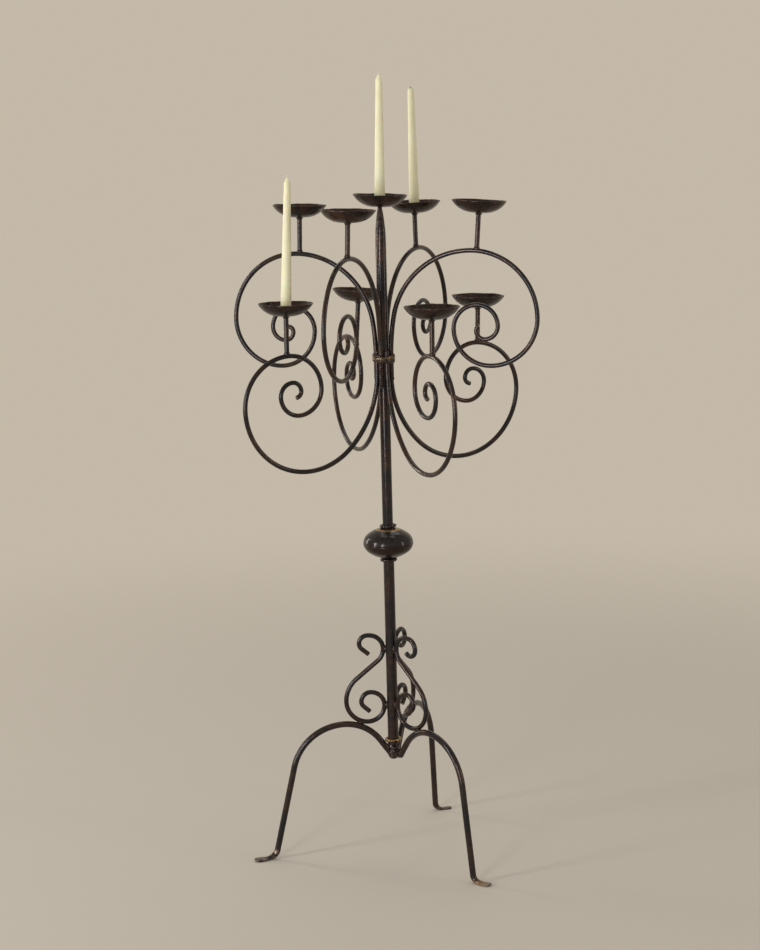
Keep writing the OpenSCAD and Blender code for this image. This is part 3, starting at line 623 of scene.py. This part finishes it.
def bead_row(work, tail_z):
    """The column of weld beads down the front tail, ending in a bigger one."""
    turn = UPPER_TURN[3] + BEAD_SIDE_ANGLE
    first_z, last = COLLAR_Z - COLLAR_H / 2 - BEAD_D / 2, BEAD_COUNT - 1
    for k in range(BEAD_COUNT):
        swell = mix(0.92, 1.12, (noise.noise(Vector((k * 1.7, 0, 0))) + 1) / 2)
        out = spoke(turn + 3 * noise.noise(Vector((k * 0.9, 5, 0))))
        at = out * (BUNDLE_R + ARM_D / 2 - 0.3) + upright(mix(first_z, tail_z, k / last))
        work.lump(at, BEAD_D * (1.4 if k == last else swell), k * 2.3, flat=0.85, worn=0.3)


# ---- shaft, knop, rings, collar


def shaft_piece():
    """The shaft. Eight flats of the hammer show on its forged point."""
    point_h, point_in = SHAFT_TOP_Z - POINT_START_Z, (SHAFT_D - SHAFT_TIP_D) / 2
    point_r = (point_h**2 + point_in**2) / (2 * point_in)

    def radius(z):
        if z > POINT_START_Z:
            return SHAFT_D / 2 - point_r + math.sqrt(point_r**2 - (z - POINT_START_Z) ** 2)
        return SHAFT_D / 2 if z > KNOP_Z else LOWER_SHAFT_D / 2

    def scratched(z, phi):
        on = [abs(phi - turn) < SCRATCH_HALF_ANGLE for _, turn in SCRATCHES]
        near = [ease(SCRATCH_HALF_H - abs(z - at_z), 0, 4) for at_z, _ in SCRATCHES]
        return SCRATCH_GILT * max(a * b for a, b in zip(near, on))

    work, rings, sides = Work(), [], 32
    for z in range(SHAFT_BOTTOM_Z, SHAFT_TOP_Z + 1, 3):
        forged = ease(z, 1180, 1290)
        points, gilt = [], []
        for phi in angles(sides):
            out = spoke(phi)
            at = out * radius(z) + upright(z)
            flats = forged * 0.4 * (0.5 - abs(((phi + z * 0.12) % 45) / 45 - 0.5) * 2)
            points.append(at + out * (hammered(at, 19, 0.1 + 0.22 * forged) + flats))
            gilt.append(scratched(z, phi))
        rings.append(work.ring(points, worn=0.15 + 0.2 * forged, gilt=gilt))
    work.skin(rings)
    work.cap_ends(rings)
    work.done("shaft", "forged", BLACK_IRON)


def knop_half(up, hole_d):
    """One pressed half of the knop, from the hole in its lip round to the seam and back inside."""
    hole_r, lip_r = hole_d / 2 + JOINT_GAP, KNOP_LIP_D / 2
    dome_angle = math.degrees(math.asin(KNOP_BELT_R / (KNOP_DOME_R - KNOP_EDGE_R)))

    def outline(inset, from_r):
        """The section at a depth in the sheet, from a radius out to the seam."""
        dome_r, edge_r = KNOP_DOME_R - inset, KNOP_EDGE_R - inset
        from_angle = math.degrees(math.asin(from_r / dome_r))
        arc = [mix(from_angle, dome_angle, k / 20) for k in range(21)]
        dome = [(dome_r * sin(a), dome_r * cos(a) - KNOP_DOME_R + KNOP_H / 2) for a in arc]
        arc = [mix(dome_angle, 90, k / 10) for k in range(1, 11)]
        return dome + [(KNOP_BELT_R + edge_r * sin(a), edge_r * cos(a)) for a in arc]

    profile = [(hole_r, KNOP_LIP_Z, {"worn": 0.3})]
    profile.append((lip_r - 1.2, KNOP_LIP_Z, {"worn": 0.5, "gilt": 0.4}))
    profile.append((lip_r, KNOP_LIP_Z - 0.4, {"worn": 0.6, "gilt": 0.8}))
    for r, z in outline(0, lip_r + 0.8):
        # On the upper half only, a band round the shoulder takes rubbed and brass colour: partly
        # wear, partly a painted warm reflection
        shoulder_wear_and_sheen = ease(r, 15, 19) * (1 - ease(r, 25, 30)) if up else 0.0
        profile.append((r, max(z, 0.12), {"worn": 0.1 + 0.25 * shoulder_wear_and_sheen, "gilt": 0.9 * shoulder_wear_and_sheen}))
    seam_r, _, seam = profile.pop()
    profile += [(seam_r - 0.02, 0.6, seam), (seam_r - 0.25, 0.12, {"worn": 0.15})]
    profile += [(r, max(z, 0.1)) for r, z in reversed(outline(KNOP_WALL, hole_r + 0.5))]
    work = Work()
    rings = lathe(work, profile, 96, 0.35, 16, upright(50 if up else 0))
    work.skin([rings[-1], rings[0]])
    place = raised(KNOP_Z) @ (Matrix() if up else Matrix.Scale(-1, 4, (0, 0, 1)))
    # The lower half gets the darker copy of the knop iron, which is painted shade
    name, finish = ("knop_upper", KNOP_IRON) if up else ("knop_lower", KNOP_PAINTED_SHADE)
    work.done(name, "pressed", finish, place=place)


def wire_ring(node, around_d, z, tilt, open_at, flare, gilt):
    """A turn of round wire bent round the shaft, tilted a little, one end standing off."""
    work, rings, sides, steps = Work(), [], 18, 72
    middle_r = around_d / 2 + 0.2 + RING_WIRE_D / 2
    lean = Matrix.Rotation(math.radians(tilt), 3, Vector((sin(open_at), -cos(open_at), 0)))
    start = open_at + RING_OPENING / 2
    for k in range(steps + 1):
        share = k / steps
        angle = start + (360 - RING_OPENING) * share
        out = spoke(angle)
        d = RING_WIRE_D * (1 - 0.18 * ease(share, 0.9, 1) - 0.1 * (1 - ease(share, 0, 0.06)))
        middle = out * (middle_r + flare * ease(share, 0.88, 1)) + upright((share - 0.5) * 1.6)
        points, brass = [], []
        for phi in angles(sides):
            point = middle + out * cos(phi) * d / 2 + upright(sin(phi) * d / 2)
            away = (point - middle).normalized()
            points.append(lean @ (point + away * hammered(point, 7, 0.16)))
            brass.append(gilt * (0.35 + 0.65 * max(0, sin(phi + 20))))
        rings.append(work.ring(points, worn=0.3, gilt=brass))
    work.cap(rings[0], 0.6, lean @ sideways(start))
    work.cap(rings[-1], 0.6, -(lean @ sideways(angle)))
    work.skin(rings)
    work.done(node, "wire", BLACK_IRON, place=raised(z))


def collar_piece():
    """The band wound twice round the bundle, drawn in between the bars."""
    turns = sorted(a % 360 for a in UPPER_TURN + LOWER_TURN)
    steps, sides, width = 220, 16, COLLAR_H / 2 + 0.4
    lean = Matrix.Rotation(math.radians(COLLAR_TILT), 3, Vector((0.3, 1, 0)))

    def hug(angle):
        """Distance from the shaft's middle to the band's inner side."""
        angle %= 360
        below = max([t for t in turns if t <= angle], default=turns[-1] - 360)
        above = min([t for t in turns if t > angle], default=turns[0] + 360)
        half = (above - below) / 2
        return BUNDLE_R * mix(1, cos(half) / cos(angle - below - half), 0.6) + ARM_D / 2 + 0.25

    work, rings = Work(), []
    for k in range(steps + 1):
        share = k / steps
        angle = COLLAR_START + 360 * COLLAR_COILS * share
        out = spoke(angle)
        z = mix(-COLLAR_H / 4, COLLAR_H / 4, ease(share, 0.3, 0.72))
        z += 0.4 * noise.noise(Vector((angle / 50, 3, 1)))
        thick = COLLAR_T * (1 - 0.45 * ease(share, 0.97, 1) - 0.45 * (1 - ease(share, 0, 0.03)))
        inner = hug(angle)
        points, worn, gilt = [], [], []
        for phi in angles(sides):
            outer_face, side = cos(phi) > 0, sin(phi)
            deep = max(0, cos(phi)) ** 0.7 * thick if outer_face else 0.0
            point = out * (inner + deep) + upright(z + side * width / 2)
            points.append(lean @ (point + out * hammered(point, 6, 0.3) * outer_face))
            worn.append(0.25 + 0.4 * max(0, side) * (share > 0.4))
            gilt.append(0.05 + 0.95 * (share > 0.42) * ease(sin(phi + 150 * share), 0.5, 0.98))
        rings.append(work.ring(points, worn=worn, gilt=gilt))
    work.cap_ends(rings)
    work.skin(rings)
    work.done("arm_collar", "wound", WELD, place=raised(COLLAR_Z))


# ---- stems, pans, spikes, candles


def stem_places():
    """Each stem's node, place, length and lean. It starts in the middle of the bar under it."""
    levels = (
        ("upper", upper_bar, UPPER_TURN, UPPER_STEM_R, UPPER_STEM_LEN, UPPER_LEAN),
        ("lower", lower_bar, LOWER_TURN, LOWER_STEM_R, LOWER_STEM_LEN, LOWER_LEAN),
    )
    for i, where in enumerate(ARMS):
        for level, bar, turns, radii, lengths, leans in levels:
            r, turn, lean = radii[i], turns[i], leans[i]
            foot = (r * cos(turn), r * sin(turn), crown(follow(*bar(i)), r))
            yield f"{level}_stem_{where}", Matrix.Translation(foot) @ leaning(lean), lengths[i], lean


def stem_piece(node, place, length, seed):
    """A stem of round bar with a fillet of weld at its foot and under its pan."""
    foot, head = ARM_D * 0.42, length - WELD_H
    stem_r, weld_r, gilt = STEM_D / 2, STEM_WELD_D / 2, {"gilt": 0.3}
    profile = [(stem_r * 0.6, 0), (weld_r * 0.94, foot - 2.2, gilt), (weld_r, foot - 0.6, gilt)]
    for k in range(1, 6):
        bulge = 0.25 * (k in (2, 3))
        profile.append((mix(STEM_WELD_D, STEM_D, ease(k, 0, 5)) / 2 + bulge, foot + WELD_H * k / 5))
    count = int((length - foot - 2 * WELD_H) / 4)
    for k in range(1, count + 1):
        profile.append((stem_r, mix(foot + WELD_H, head, k / count), {"worn": 0.2}))
    for k in range(1, 7):
        profile.append((mix(STEM_D, PAN_WELD_D, ease(k, 0, 6) ** 1.3) / 2, head + WELD_H * k / 6))
    work = Work()
    work.cap_ends(lathe(work, profile, 24, 0.22, 9, Vector((seed * 31, 0, 0))))
    foot_r, foot_lump_d, head_r, head_lump_d = 4.6, 4.4, 5.2, 4.2
    for k in range(5):
        angle, z = 72 * k + seed * 40, foot + 0.6 * noise.noise(Vector((seed, k, 0)))
        x, y = cos(angle), sin(angle)
        work.lump((x * foot_r, y * foot_r, z), foot_lump_d, seed + k, gilt=0.4)
        work.lump((x * head_r, y * head_r, length - 1.6), head_lump_d, seed - k, gilt=0.3)
    work.done(node, "welded", BLACK_IRON, place=place)


def pan_piece(node, place, seed):
    """A pan hammered from sheet: the rim wavers a little and the dents go through."""
    arc_w = (PAN_D - PAN_FLAT_D) / 2
    arc_r = (arc_w**2 + PAN_DEPTH**2) / (2 * PAN_DEPTH)
    full = math.degrees(math.acos((arc_r - PAN_DEPTH) / arc_r))

    def sheet(depth, share):
        """A place on the sheet, share 0 at the middle to 1 at the rim."""
        if share < 0.2:
            return PAN_FLAT_D / 2 * share / 0.2, depth
        angle = full * (share - 0.2) / 0.8
        return PAN_FLAT_D / 2 + (arc_r - depth) * sin(angle), arc_r - (arc_r - depth) * cos(angle)

    steps, sides = 26, 120
    shares = [0.02 + 0.98 * k / steps for k in range(steps + 1)]
    line = [(*sheet(mix(PAN_WALL, PAN_RIM_WALL, s), s), s, 1) for s in shares]
    rim_r, rim_z = sheet(PAN_RIM_WALL / 2, 1)
    line += [(rim_r + 0.1, rim_z + 0.45, 1.0, 0.5)]
    line += [(*sheet(0, s), s, 0) for s in reversed(shares)]
    work, rings = Work(), []
    for r, z, share, inside in line:
        rim, quiet = ease(share, 0.55, 1), ease(share, 0.12, 0.3)
        points, worn = [], []
        for phi in angles(sides):
            out = spoke(phi)
            flat = out * r + Vector((seed * 200, seed * 70, 0))
            dent = hammered(flat, 8, 0.34) + hammered(flat, 24, 0.4)
            sway = Vector((out.x * 1.6 + seed * 9, out.y * 1.6, seed * 5))
            slow, quick = noise.noise(sway), noise.noise(sway * 3.1)
            rise = rim * (1.25 * slow + 0.5 * quick) - 0.25 * rim
            slow, quick = noise.noise(sway + Vector((7, 7, 7))), noise.noise(sway * 4)
            reach = rim * (0.9 * slow + 0.4 * quick) - 0.5 * rim
            height = z + rise + dent * quiet * 0.5
            points.append(out * (r + reach + dent * quiet * share) + upright(height))
            rubbed = 0.42 * ease(share, 0.96, 1.0)
            worn.append(0.05 + rubbed + 0.2 * max(0, noise.noise(flat / 15)))
        rings.append(work.ring(points, worn=worn, inside=inside))
    work.cap_ends(rings)
    work.skin(rings)
    work.done(node, "hammered", PAN_IRON, place=place)


def spike_piece(node, place, seed):
    """A spike drawn out to a point."""
    profile = [(SPIKE_D / 2, z) for z in (0.0, 1.5, 3, 6, SPIKE_H)]
    for k in range(1, 6):
        z = SPIKE_H + SPIKE_POINT_H * k / 5
        profile.append((mix(SPIKE_D / 2, 0.5, k / 5), z, {"worn": 0.5}))
    work = Work()
    work.cap_ends(lathe(work, profile, 16, 0.08, 5, Vector((seed * 17, 0, 0))))
    work.done(node, "drawn", PAN_IRON, place=place)


def candle_pieces(i, name, body, place, burnt):
    """A tapered candle with a hole for its spike, and its wick."""
    top, tip_h, end_r = CANDLE_LEN[i], CANDLE_TIP_H[i], CANDLE_TIP_D[i] / 2
    body_h, foot_r = top - tip_h, CANDLE_D / 2
    hole_r, hole_h = SPIKE_D / 2 + SPIKE_GAP, SPIKE_H + SPIKE_POINT_H + 2
    foot = [(0.6, hole_h), (hole_r * 0.9, hole_h - 0.2), (hole_r, hole_h - 1.2)]
    foot += [(hole_r, 0.0), (foot_r - 1.2, 0.0), (foot_r - 0.2, 0.7)]
    profile = [(r, z, {"foot": 1.0}) for r, z in foot]
    for k in range(61):
        z = mix(2, body_h - 1.5, k / 60)
        r = mix(CANDLE_D, CANDLE_TOP_D, z / body_h) / 2
        profile.append((r, z, {"foot": 1 - ease(z, 3, 60)}))
    for k in range(1, 9):
        t = k / 8
        r = mix(CANDLE_TOP_D / 2, end_r, t) + 0.5 * sin(180 * t) * min(1, tip_h / 8)
        profile.append((r, body_h - 1.2 + (tip_h + 1.2) * t, {"worn": 0.25 * burnt * t}))
    well_z = top - (1.6 if burnt else 0.2)
    for r, z, char in ((end_r * 0.8, top - 0.1, 0.3), (end_r * 0.5, well_z, 0.5), (0.9, well_z, 0.7)):
        profile.append((r, z, {"worn": char * burnt}))
    work = Work()
    work.cap_ends(lathe(work, profile, 48, 0.14, 26, Vector((i * 83, 0, 0))))
    work.done(f"{name}_candle", "dipped", WAX, body, place)
    wick_piece(i, name, body, place, burnt)


def wick_piece(i, name, body, place, burnt):
    """A plaited wick, bowed a little where it stands out of the wax."""
    work, rings, sides, steps = Work(), [], 18, 40
    length, foot_z = WICK_IN + WICK_OUT[i], CANDLE_LEN[i] - WICK_IN
    for k in range(steps + 1):
        z = length * k / steps
        out_share = max(0, (z - WICK_IN) / WICK_OUT[i])
        bow = Vector((-0.9 * out_share**2, 0.3 * out_share**2, 0)) * (1.3 if burnt else 1)
        points = []
        for phi in angles(sides):
            plait = 1 + 0.16 * cos(3 * phi - z * 110) + 0.08 * cos(2 * phi + z * 150)
            r = WICK_D / 2 * 0.86 * plait * (1 - 0.35 * ease(out_share, 0.75, 1))
            points.append(bow + Vector((r * cos(phi), r * sin(phi), foot_z + z)))
        rings.append(work.ring(points))
    work.cap_ends(rings)
    work.skin(rings)
    work.done(f"{name}_wick", "plaited", CHARRED if burnt else COTTON, body, place)


def stood(pan, gap, foot_d, lean):
    """A place in a pan for a leaning spike or candle, with its foot just clear of the sheet."""
    return pan @ raised(PAN_WALL + gap + foot_d / 2 * sin(abs(lean))) @ leaning(lean)


def pans_and_candles():
    """The stems, pans, spikes and candles. A candle's lean adds to that of its pan."""
    top_z = SHAFT_TOP_Z + SHAFT_TIP_D / 2 * sin(abs(TOP_LEAN))
    pans = {"top_pan": (raised(top_z) @ leaning(TOP_LEAN), TOP_LEAN)}
    for seed, (node, place, length, lean) in enumerate(stem_places()):
        stem_piece(node, place, length, seed)
        pans[node.replace("stem", "pan")] = (place @ raised(length), lean)
    for seed, (pan, (place, lean)) in enumerate(pans.items()):
        pan_piece(pan, place, seed + 1)
        i, name = CANDLE_IN.get(pan, (None, None))
        tilt = 0 if i is None else CANDLE_LEAN[i] - lean
        spike_piece(pan.replace("pan", "spike"), stood(place, 0, SPIKE_D, tilt), seed)
        if i is not None:
            seat = stood(place, SEAT_GAP, CANDLE_D, tilt)
            candle_pieces(i, name, f"{name}_taper", seat, burnt=name == "back")


# ---- tripod


def bend_middle(place, radius, turn):
    """Middle of a bend that starts at a place on a bar."""
    side = math.copysign(radius, turn)
    return Vector((place[0] - side * sin(place[2]), place[1] + side * cos(place[2])))


def leg_bar(i):
    """Start and bends of a leg, from the hub over the arch to the end of its toe."""
    angle = LEG_DROP_ANGLE[i]
    rise_z = LEG_ARCH_Z - LEG_RISE_LEN * sin(LEG_RISE_ANGLE) - LEG_INNER_R * (1 - cos(LEG_RISE_ANGLE))
    bent_h = (LEG_OUTER_R[i] + HEEL_R[i]) * (1 - cos(angle))
    drop = (LEG_ARCH_Z - LEG_D / 2 - bent_h) / sin(angle)
    bends = [(0, LEG_RISE_LEN), (LEG_INNER_R, -LEG_RISE_ANGLE), (LEG_OUTER_R[i], -angle), (0, drop)]
    bends += [(HEEL_R[i], angle), (0, TOE_LEN[i] - 1)]
    return (LEG_START_R[i], rise_z, LEG_RISE_ANGLE), bends


def leg_piece(i):
    """A leg of round bar, its end beaten flat and turned out to make the toe."""
    path = follow(*leg_bar(i), spacing=2.5)
    total = path[-1][3]
    heel = total - TOE_LEN[i]
    ankle = heel - HEEL_R[i] * math.radians(LEG_DROP_ANGLE[i])
    toe_h, turn_up, round_share, blunt = TOE_SHAPE[i]
    rounded = TOE_W[i] * round_share

    def bearing(length):
        return LEG_TURN[i] + TOE_TURN[i] * ease(length, ankle - 5, ankle + 7)

    def toe(length, rise, side):
        """Flattens the round bar towards the toe, and keeps its underside on the floor."""
        flat = ease(length, heel - 9, heel + 12)
        height = mix(LEG_D, toe_h, flat)
        near_end = max(0, length - (total - rounded)) / rounded
        width = mix(LEG_D, TOE_W[i], ease(length, heel - 2, heel + TOE_LEN[i] * 0.6))
        width *= 1 - 0.6 * near_end**2 * blunt
        square = mix(1, 0.7, flat)
        side = math.copysign(abs(side / (LEG_D / 2)) ** square, side) * width / 2
        rise = math.copysign(abs(rise / (LEG_D / 2)) ** square, rise) * height / 2
        if turn_up:
            rise -= flat * 1.3 * (1 - (side / (width / 2)) ** 2) * (rise > 0)
        up = turn_up * max(0, (length - heel - 8) / (TOE_LEN[i] - 8)) ** 2
        return rise - (LEG_D - height) / 2 + up, side

    work = Work()
    rings = draw_bar(work, path, bearing, LEG_D, LEG_D - 0.3, sides=28, shape=toe, draw=0.16)
    bend = next(ring for ring, place in zip(rings[1:], path) if place[3] >= ankle + 8)
    # A painted highlight: on the left foot, a spot of the ankle bend toward the camera and up takes
    # the rubbed colour
    painted_highlight_at = centre(bend) + Vector((0, -5, 4))
    worn, gilt = work.marks["worn"], work.marks["gilt"]
    for vert in [v for ring in rings for v in ring]:
        low = 1 - ease(vert.co.z, 2, 22)
        vert[worn] = max(vert[worn], low * (0.45 + 0.5 * noise.noise(vert.co / 9)))
        vert[gilt] = max(vert[gilt], TOE_GILT[i] * low)
        # The wear mark carries the painted highlight on the left ankle
        if FEET[i] == "left":
            vert[worn] = max(vert[worn], 1 - ease((vert.co - painted_highlight_at).length, 3, 9))
        vert.co.z = max(vert.co.z, 0.05)
    work.done(f"leg_{FEET[i]}", "forged", BLACK_IRON)


def scroll_run(length):
    """The scroll's bends from the shaft down to its bowl, with a straight stretch of a length."""
    return [(SCROLL_NECK_R, SCROLL_SLOPE), (0, length), (SCROLL_BELLY_R, -SCROLL_SLOPE)]


def bowl_middle(length):
    """Middle of the scroll's lowest bend, when its straight stretch has that length."""
    end = follow((SCROLL_R, SCROLL_TOUCH_Z, -90), scroll_run(length))[-1]
    return bend_middle(end, SCROLL_BOWL_R, -90)


def arch_middle(i):
    """Middle of the inner half of a leg's arch."""
    start, bends = leg_bar(i)
    return bend_middle(follow(start, bends[:1])[-1], LEG_INNER_R, -LEG_RISE_ANGLE)


def neck_length(i):
    """Straight length at which the scroll just touches its leg."""
    side_step = LEG_TOUCH_R * sin(SCROLL_TURN[i] - LEG_TURN[i])
    clear = math.sqrt((LEG_D / 2 + SCROLL_D / 2 + JOINT_GAP) ** 2 - side_step**2)
    apart, hardly_any = SCROLL_BOWL_R + LEG_INNER_R + clear, 0.001
    between = bowl_middle(hardly_any) - arch_middle(i)
    nearing = between.dot(Vector((sin(SCROLL_SLOPE), -cos(SCROLL_SLOPE))))
    return -nearing - math.sqrt(nearing**2 - between.length_squared + apart**2)


def scroll_piece(i):
    """A base scroll and the lumps of weld that hold it."""
    neck, arch = neck_length(i), arch_middle(i)
    bowl = bowl_middle(neck)
    back_r = bowl.x - SCROLL_R
    down = scroll_run(neck) + [(SCROLL_BOWL_R, -90), (back_r, -90), (SCROLL_INNER_R, -90)]
    down += curl(SCROLL_INNER_R, SCROLL_CURL_RATIO, SCROLL_CURL_ANGLE, -1) + [(0, SCROLL_CURL_LEN)]
    up = [(SCROLL_RISE_R, -90), (0, SCROLL_OVER_LEN[i]), (SCROLL_OVER_R[i], -90)]
    up += [(SCROLL_TIP_R, -SCROLL_TIP_ANGLE[i]), (0, SCROLL_TIP_LEN[i])]
    upper = follow((SCROLL_R, SCROLL_TOUCH_Z, 90), [bend for bend in up if bend[1] != 0], 3)
    lower = follow((SCROLL_R, SCROLL_TOUCH_Z, -90), down, 3)
    above = upper[-1][3]
    path = [(r, z, heading + 180, above - length) for r, z, heading, length in reversed(upper)]
    path = path[:-1] + [(r, z, heading, above + length) for r, z, heading, length in lower]
    work = Work()
    draw_bar(work, path, SCROLL_TURN[i], SCROLL_TIP_D, SCROLL_TIP_D, draw=0.14, gilt_tip=0.5)
    out, shaft_side = spoke(SCROLL_TURN[i]), SCROLL_R - SCROLL_D / 2
    on_leg = bowl + (arch - bowl).normalized() * (SCROLL_BOWL_R + SCROLL_D / 2)
    back_z = bowl.y - SCROLL_BOWL_R + back_r
    for k, (r, z) in enumerate(((shaft_side, SCROLL_TOUCH_Z), (shaft_side, back_z), on_leg)):
        for n, share in enumerate(SCROLL_WELD_SHARES):
            step = (n - 1) * 3.2
            at = out * r + upright(z) + (upright(step) if k < 2 else out * step)
            work.lump(at, SCROLL_WELD_D * share, i * 5 + k + n * 2.1, gilt=0.5)
    work.done(f"scroll_{FEET[i]}", "forged", BLACK_IRON)


def hub_piece():
    """The cluster of weld under the shaft, run together and lumpy."""
    work, count, next_angle, lump_d, core_d = Work(), 26, 137.5, 7.5, 19
    bottom_z = SHAFT_BOTTOM_Z - HUB_H
    for k in range(count):
        angle, level = k * next_angle, (k % 5) / 4
        reach = mix(HUB_LOW_D, HUB_TOP_D, level) / 2 - 2.6
        at = (reach * cos(angle), reach * sin(angle), bottom_z + 3 + (HUB_H - 5) * level)
        work.lump(at, lump_d + 1.6 * noise.noise(Vector((k * 1.3, 0, 0))), k)
    work.lump((0, 0, SHAFT_BOTTOM_Z - HUB_H / 2 + 4), core_d, 50, flat=1.5)
    rise_z = leg_bar(0)[0][1]
    for i, turn in enumerate(LEG_TURN):
        reach = LEG_START_R[i] / 2 + LEG_D / 4
        for n in range(4):
            side = turn + (n - 1.5) * 26
            at = (reach * cos(side), reach * sin(side), rise_z + 4 * ((n % 2) - 0.5))
            work.lump(at, HUB_LUMP_D * 0.72, i * 9 + n)
    run_together(work.done("hub_weld", "run", WELD), 1.1)


def run_together(piece, voxel):
    """Melts the lumps of a piece into one skin."""
    melt = {"mode": "VOXEL", "voxel_size": voxel * MM}
    for kind, settings in (("REMESH", melt), ("SMOOTH", {"factor": 0.6, "iterations": 3})):
        modifier = piece.modifiers.new(kind.lower(), kind)
        for key, value in settings.items():
            setattr(modifier, key, value)
    graph = bpy.context.evaluated_depsgraph_get()
    mesh = bpy.data.meshes.new_from_object(piece.evaluated_get(graph))
    piece.modifiers.clear()
    piece.data = mesh
    for face in mesh.polygons:
        face.use_smooth = True


# ---- the studio

BACKDROP = rgb(0.555, 0.488, 0.395)


def place_camera():
    """Sets up the photograph's own camera, which looks a little down."""
    yaw, pitch, roll = CAMERA_YAW, CAMERA_PITCH, CAMERA_ROLL
    forward = Vector((sin(yaw) * cos(pitch), cos(yaw) * cos(pitch), -sin(pitch)))
    level = Vector((cos(yaw), -sin(yaw), 0))
    rise = level.cross(forward)
    right, up = level * cos(roll) + rise * sin(roll), rise * cos(roll) - level * sin(roll)
    data = bpy.data.cameras.new("camera")
    data.sensor_width, data.lens = FILM_H, FOCAL_PIXELS / PICTURE_H * FILM_H
    camera = bpy.data.objects.new("camera", data)
    rows = Matrix((right, up, -forward)).transposed().to_4x4()
    camera.matrix_world = Matrix.Translation(CAMERA_PLACE) @ rows
    bpy.context.scene.collection.objects.link(camera)
    bpy.context.scene.camera = camera


def studio_world():
    """A soft light all round, and the backdrop's colour wherever the world is seen."""
    world = bpy.data.worlds.new("studio")
    world.use_nodes = True
    sky = Nodes(world.node_tree)
    light = sky.tree.nodes["Background"]
    sky.join(light.inputs["Color"], rgb(0.97, 0.98, 1))
    sky.join(light.inputs["Strength"], 0.45)
    shown = sky.node("ShaderNodeBackground", {}, {"Color": BACKDROP})
    both = sky.node("ShaderNodeMixShader", {}, [sky.seen(), Shade(sky, light.outputs[0]), shown])
    sky.join(sky.tree.nodes["World Output"].inputs["Surface"], both)
    bpy.context.scene.world = world


def floor():
    """A round pale floor that fades into the backdrop."""
    bm = bmesh.new()
    bmesh.ops.create_circle(bm, cap_ends=True, segments=96, radius=FLOOR_R)
    mesh = bpy.data.meshes.new("floor")
    bm.to_mesh(mesh)
    bm.free()
    f = Finish("pale_floor", Roughness=0.75, Specular_IOR_Level=0.25)
    place = f.place()
    far = f.node("ShaderNodeVectorMath", {"operation": "LENGTH"}, [place], out="Value")
    colour = f.blend(f.cloud(place, 400, 3) * 0.3, rgb(0.59, 0.52, 0.425), rgb(0.62, 0.55, 0.455))
    f.feed("Base Color", colour)
    glow = f.node("ShaderNodeEmission", {}, {"Color": BACKDROP})
    faded = far.between(FADE_FROM, FADE_TO) * f.seen()
    both = f.node("ShaderNodeMixShader", {}, [faded, Shade(f, f.shader.outputs[0]), glow])
    f.join(f.tree.nodes["Material Output"].inputs["Surface"], both)
    mesh.materials.append(f.material)
    made = bpy.data.objects.new("floor", mesh)
    bpy.context.scene.collection.objects.link(made)


def lamp(name, place, aim, width, height, power, colour=(1, 1, 1)):
    """A lit panel that shows in reflections but not to the camera."""
    data = bpy.data.lights.new(name, "AREA")
    data.shape, data.size, data.size_y = "RECTANGLE", width, height
    data.energy, data.color = power, colour
    made = bpy.data.objects.new(name, data)
    made.location = place
    made.rotation_euler = (Vector(aim) - Vector(place)).to_track_quat("-Z", "Y").to_euler()
    made.visible_camera = False
    bpy.context.scene.collection.objects.link(made)


def studio():
    place_camera()
    studio_world()
    floor()
    lamp("window", (-4.7, -2.25, 1.75), (0, 0, 0.9), 0.75, 2.9, 108, (1, 0.99, 0.97))
    lamp("front_window", (-2.1, -4.2, 1.2), (0, 0, 0.9), 0.78, 2.3, 80, (0.84, 0.92, 1))
    lamp("right_window", (4.6, -1.7, 1.8), (0, 0, 0.9), 0.6, 2.4, 30, (1, 0.95, 0.88))
    lamp("side_window", (-3.8, 2.25, 1.8), (0, 0, 0.9), 0.56, 2.4, 34, (1, 0.93, 0.84))
    lamp("top", (0.2, 1.2, 3.4), (0, 0, 0.8), 2.0, 2.0, 18)
    bpy.context.scene.view_settings.view_transform = "Standard"


shaft_piece()
knop_half(True, SHAFT_D)
knop_half(False, LOWER_SHAFT_D)
over_z = KNOP_Z + (KNOP_LIP_Z + JOINT_GAP + RING_WIRE_D / 2) + 0.3
under_z = KNOP_Z - (KNOP_LIP_Z + JOINT_GAP + RING_WIRE_D / 2) - 0.3
wire_ring("knop_ring_upper", SHAFT_D, over_z, tilt=3, open_at=-8, flare=1.6, gilt=0.2)
wire_ring("knop_ring_lower", LOWER_SHAFT_D, under_z, tilt=1.5, open_at=100, flare=0.4, gilt=0.2)
wire_ring("foot_ring", LOWER_SHAFT_D, FOOT_RING_Z, tilt=1, open_at=80, flare=0.3, gilt=0.95)
collar_piece()
arm_pieces()
pans_and_candles()
for leg_index in range(3):
    leg_piece(leg_index)
    scroll_piece(leg_index)
hub_piece()
studio()
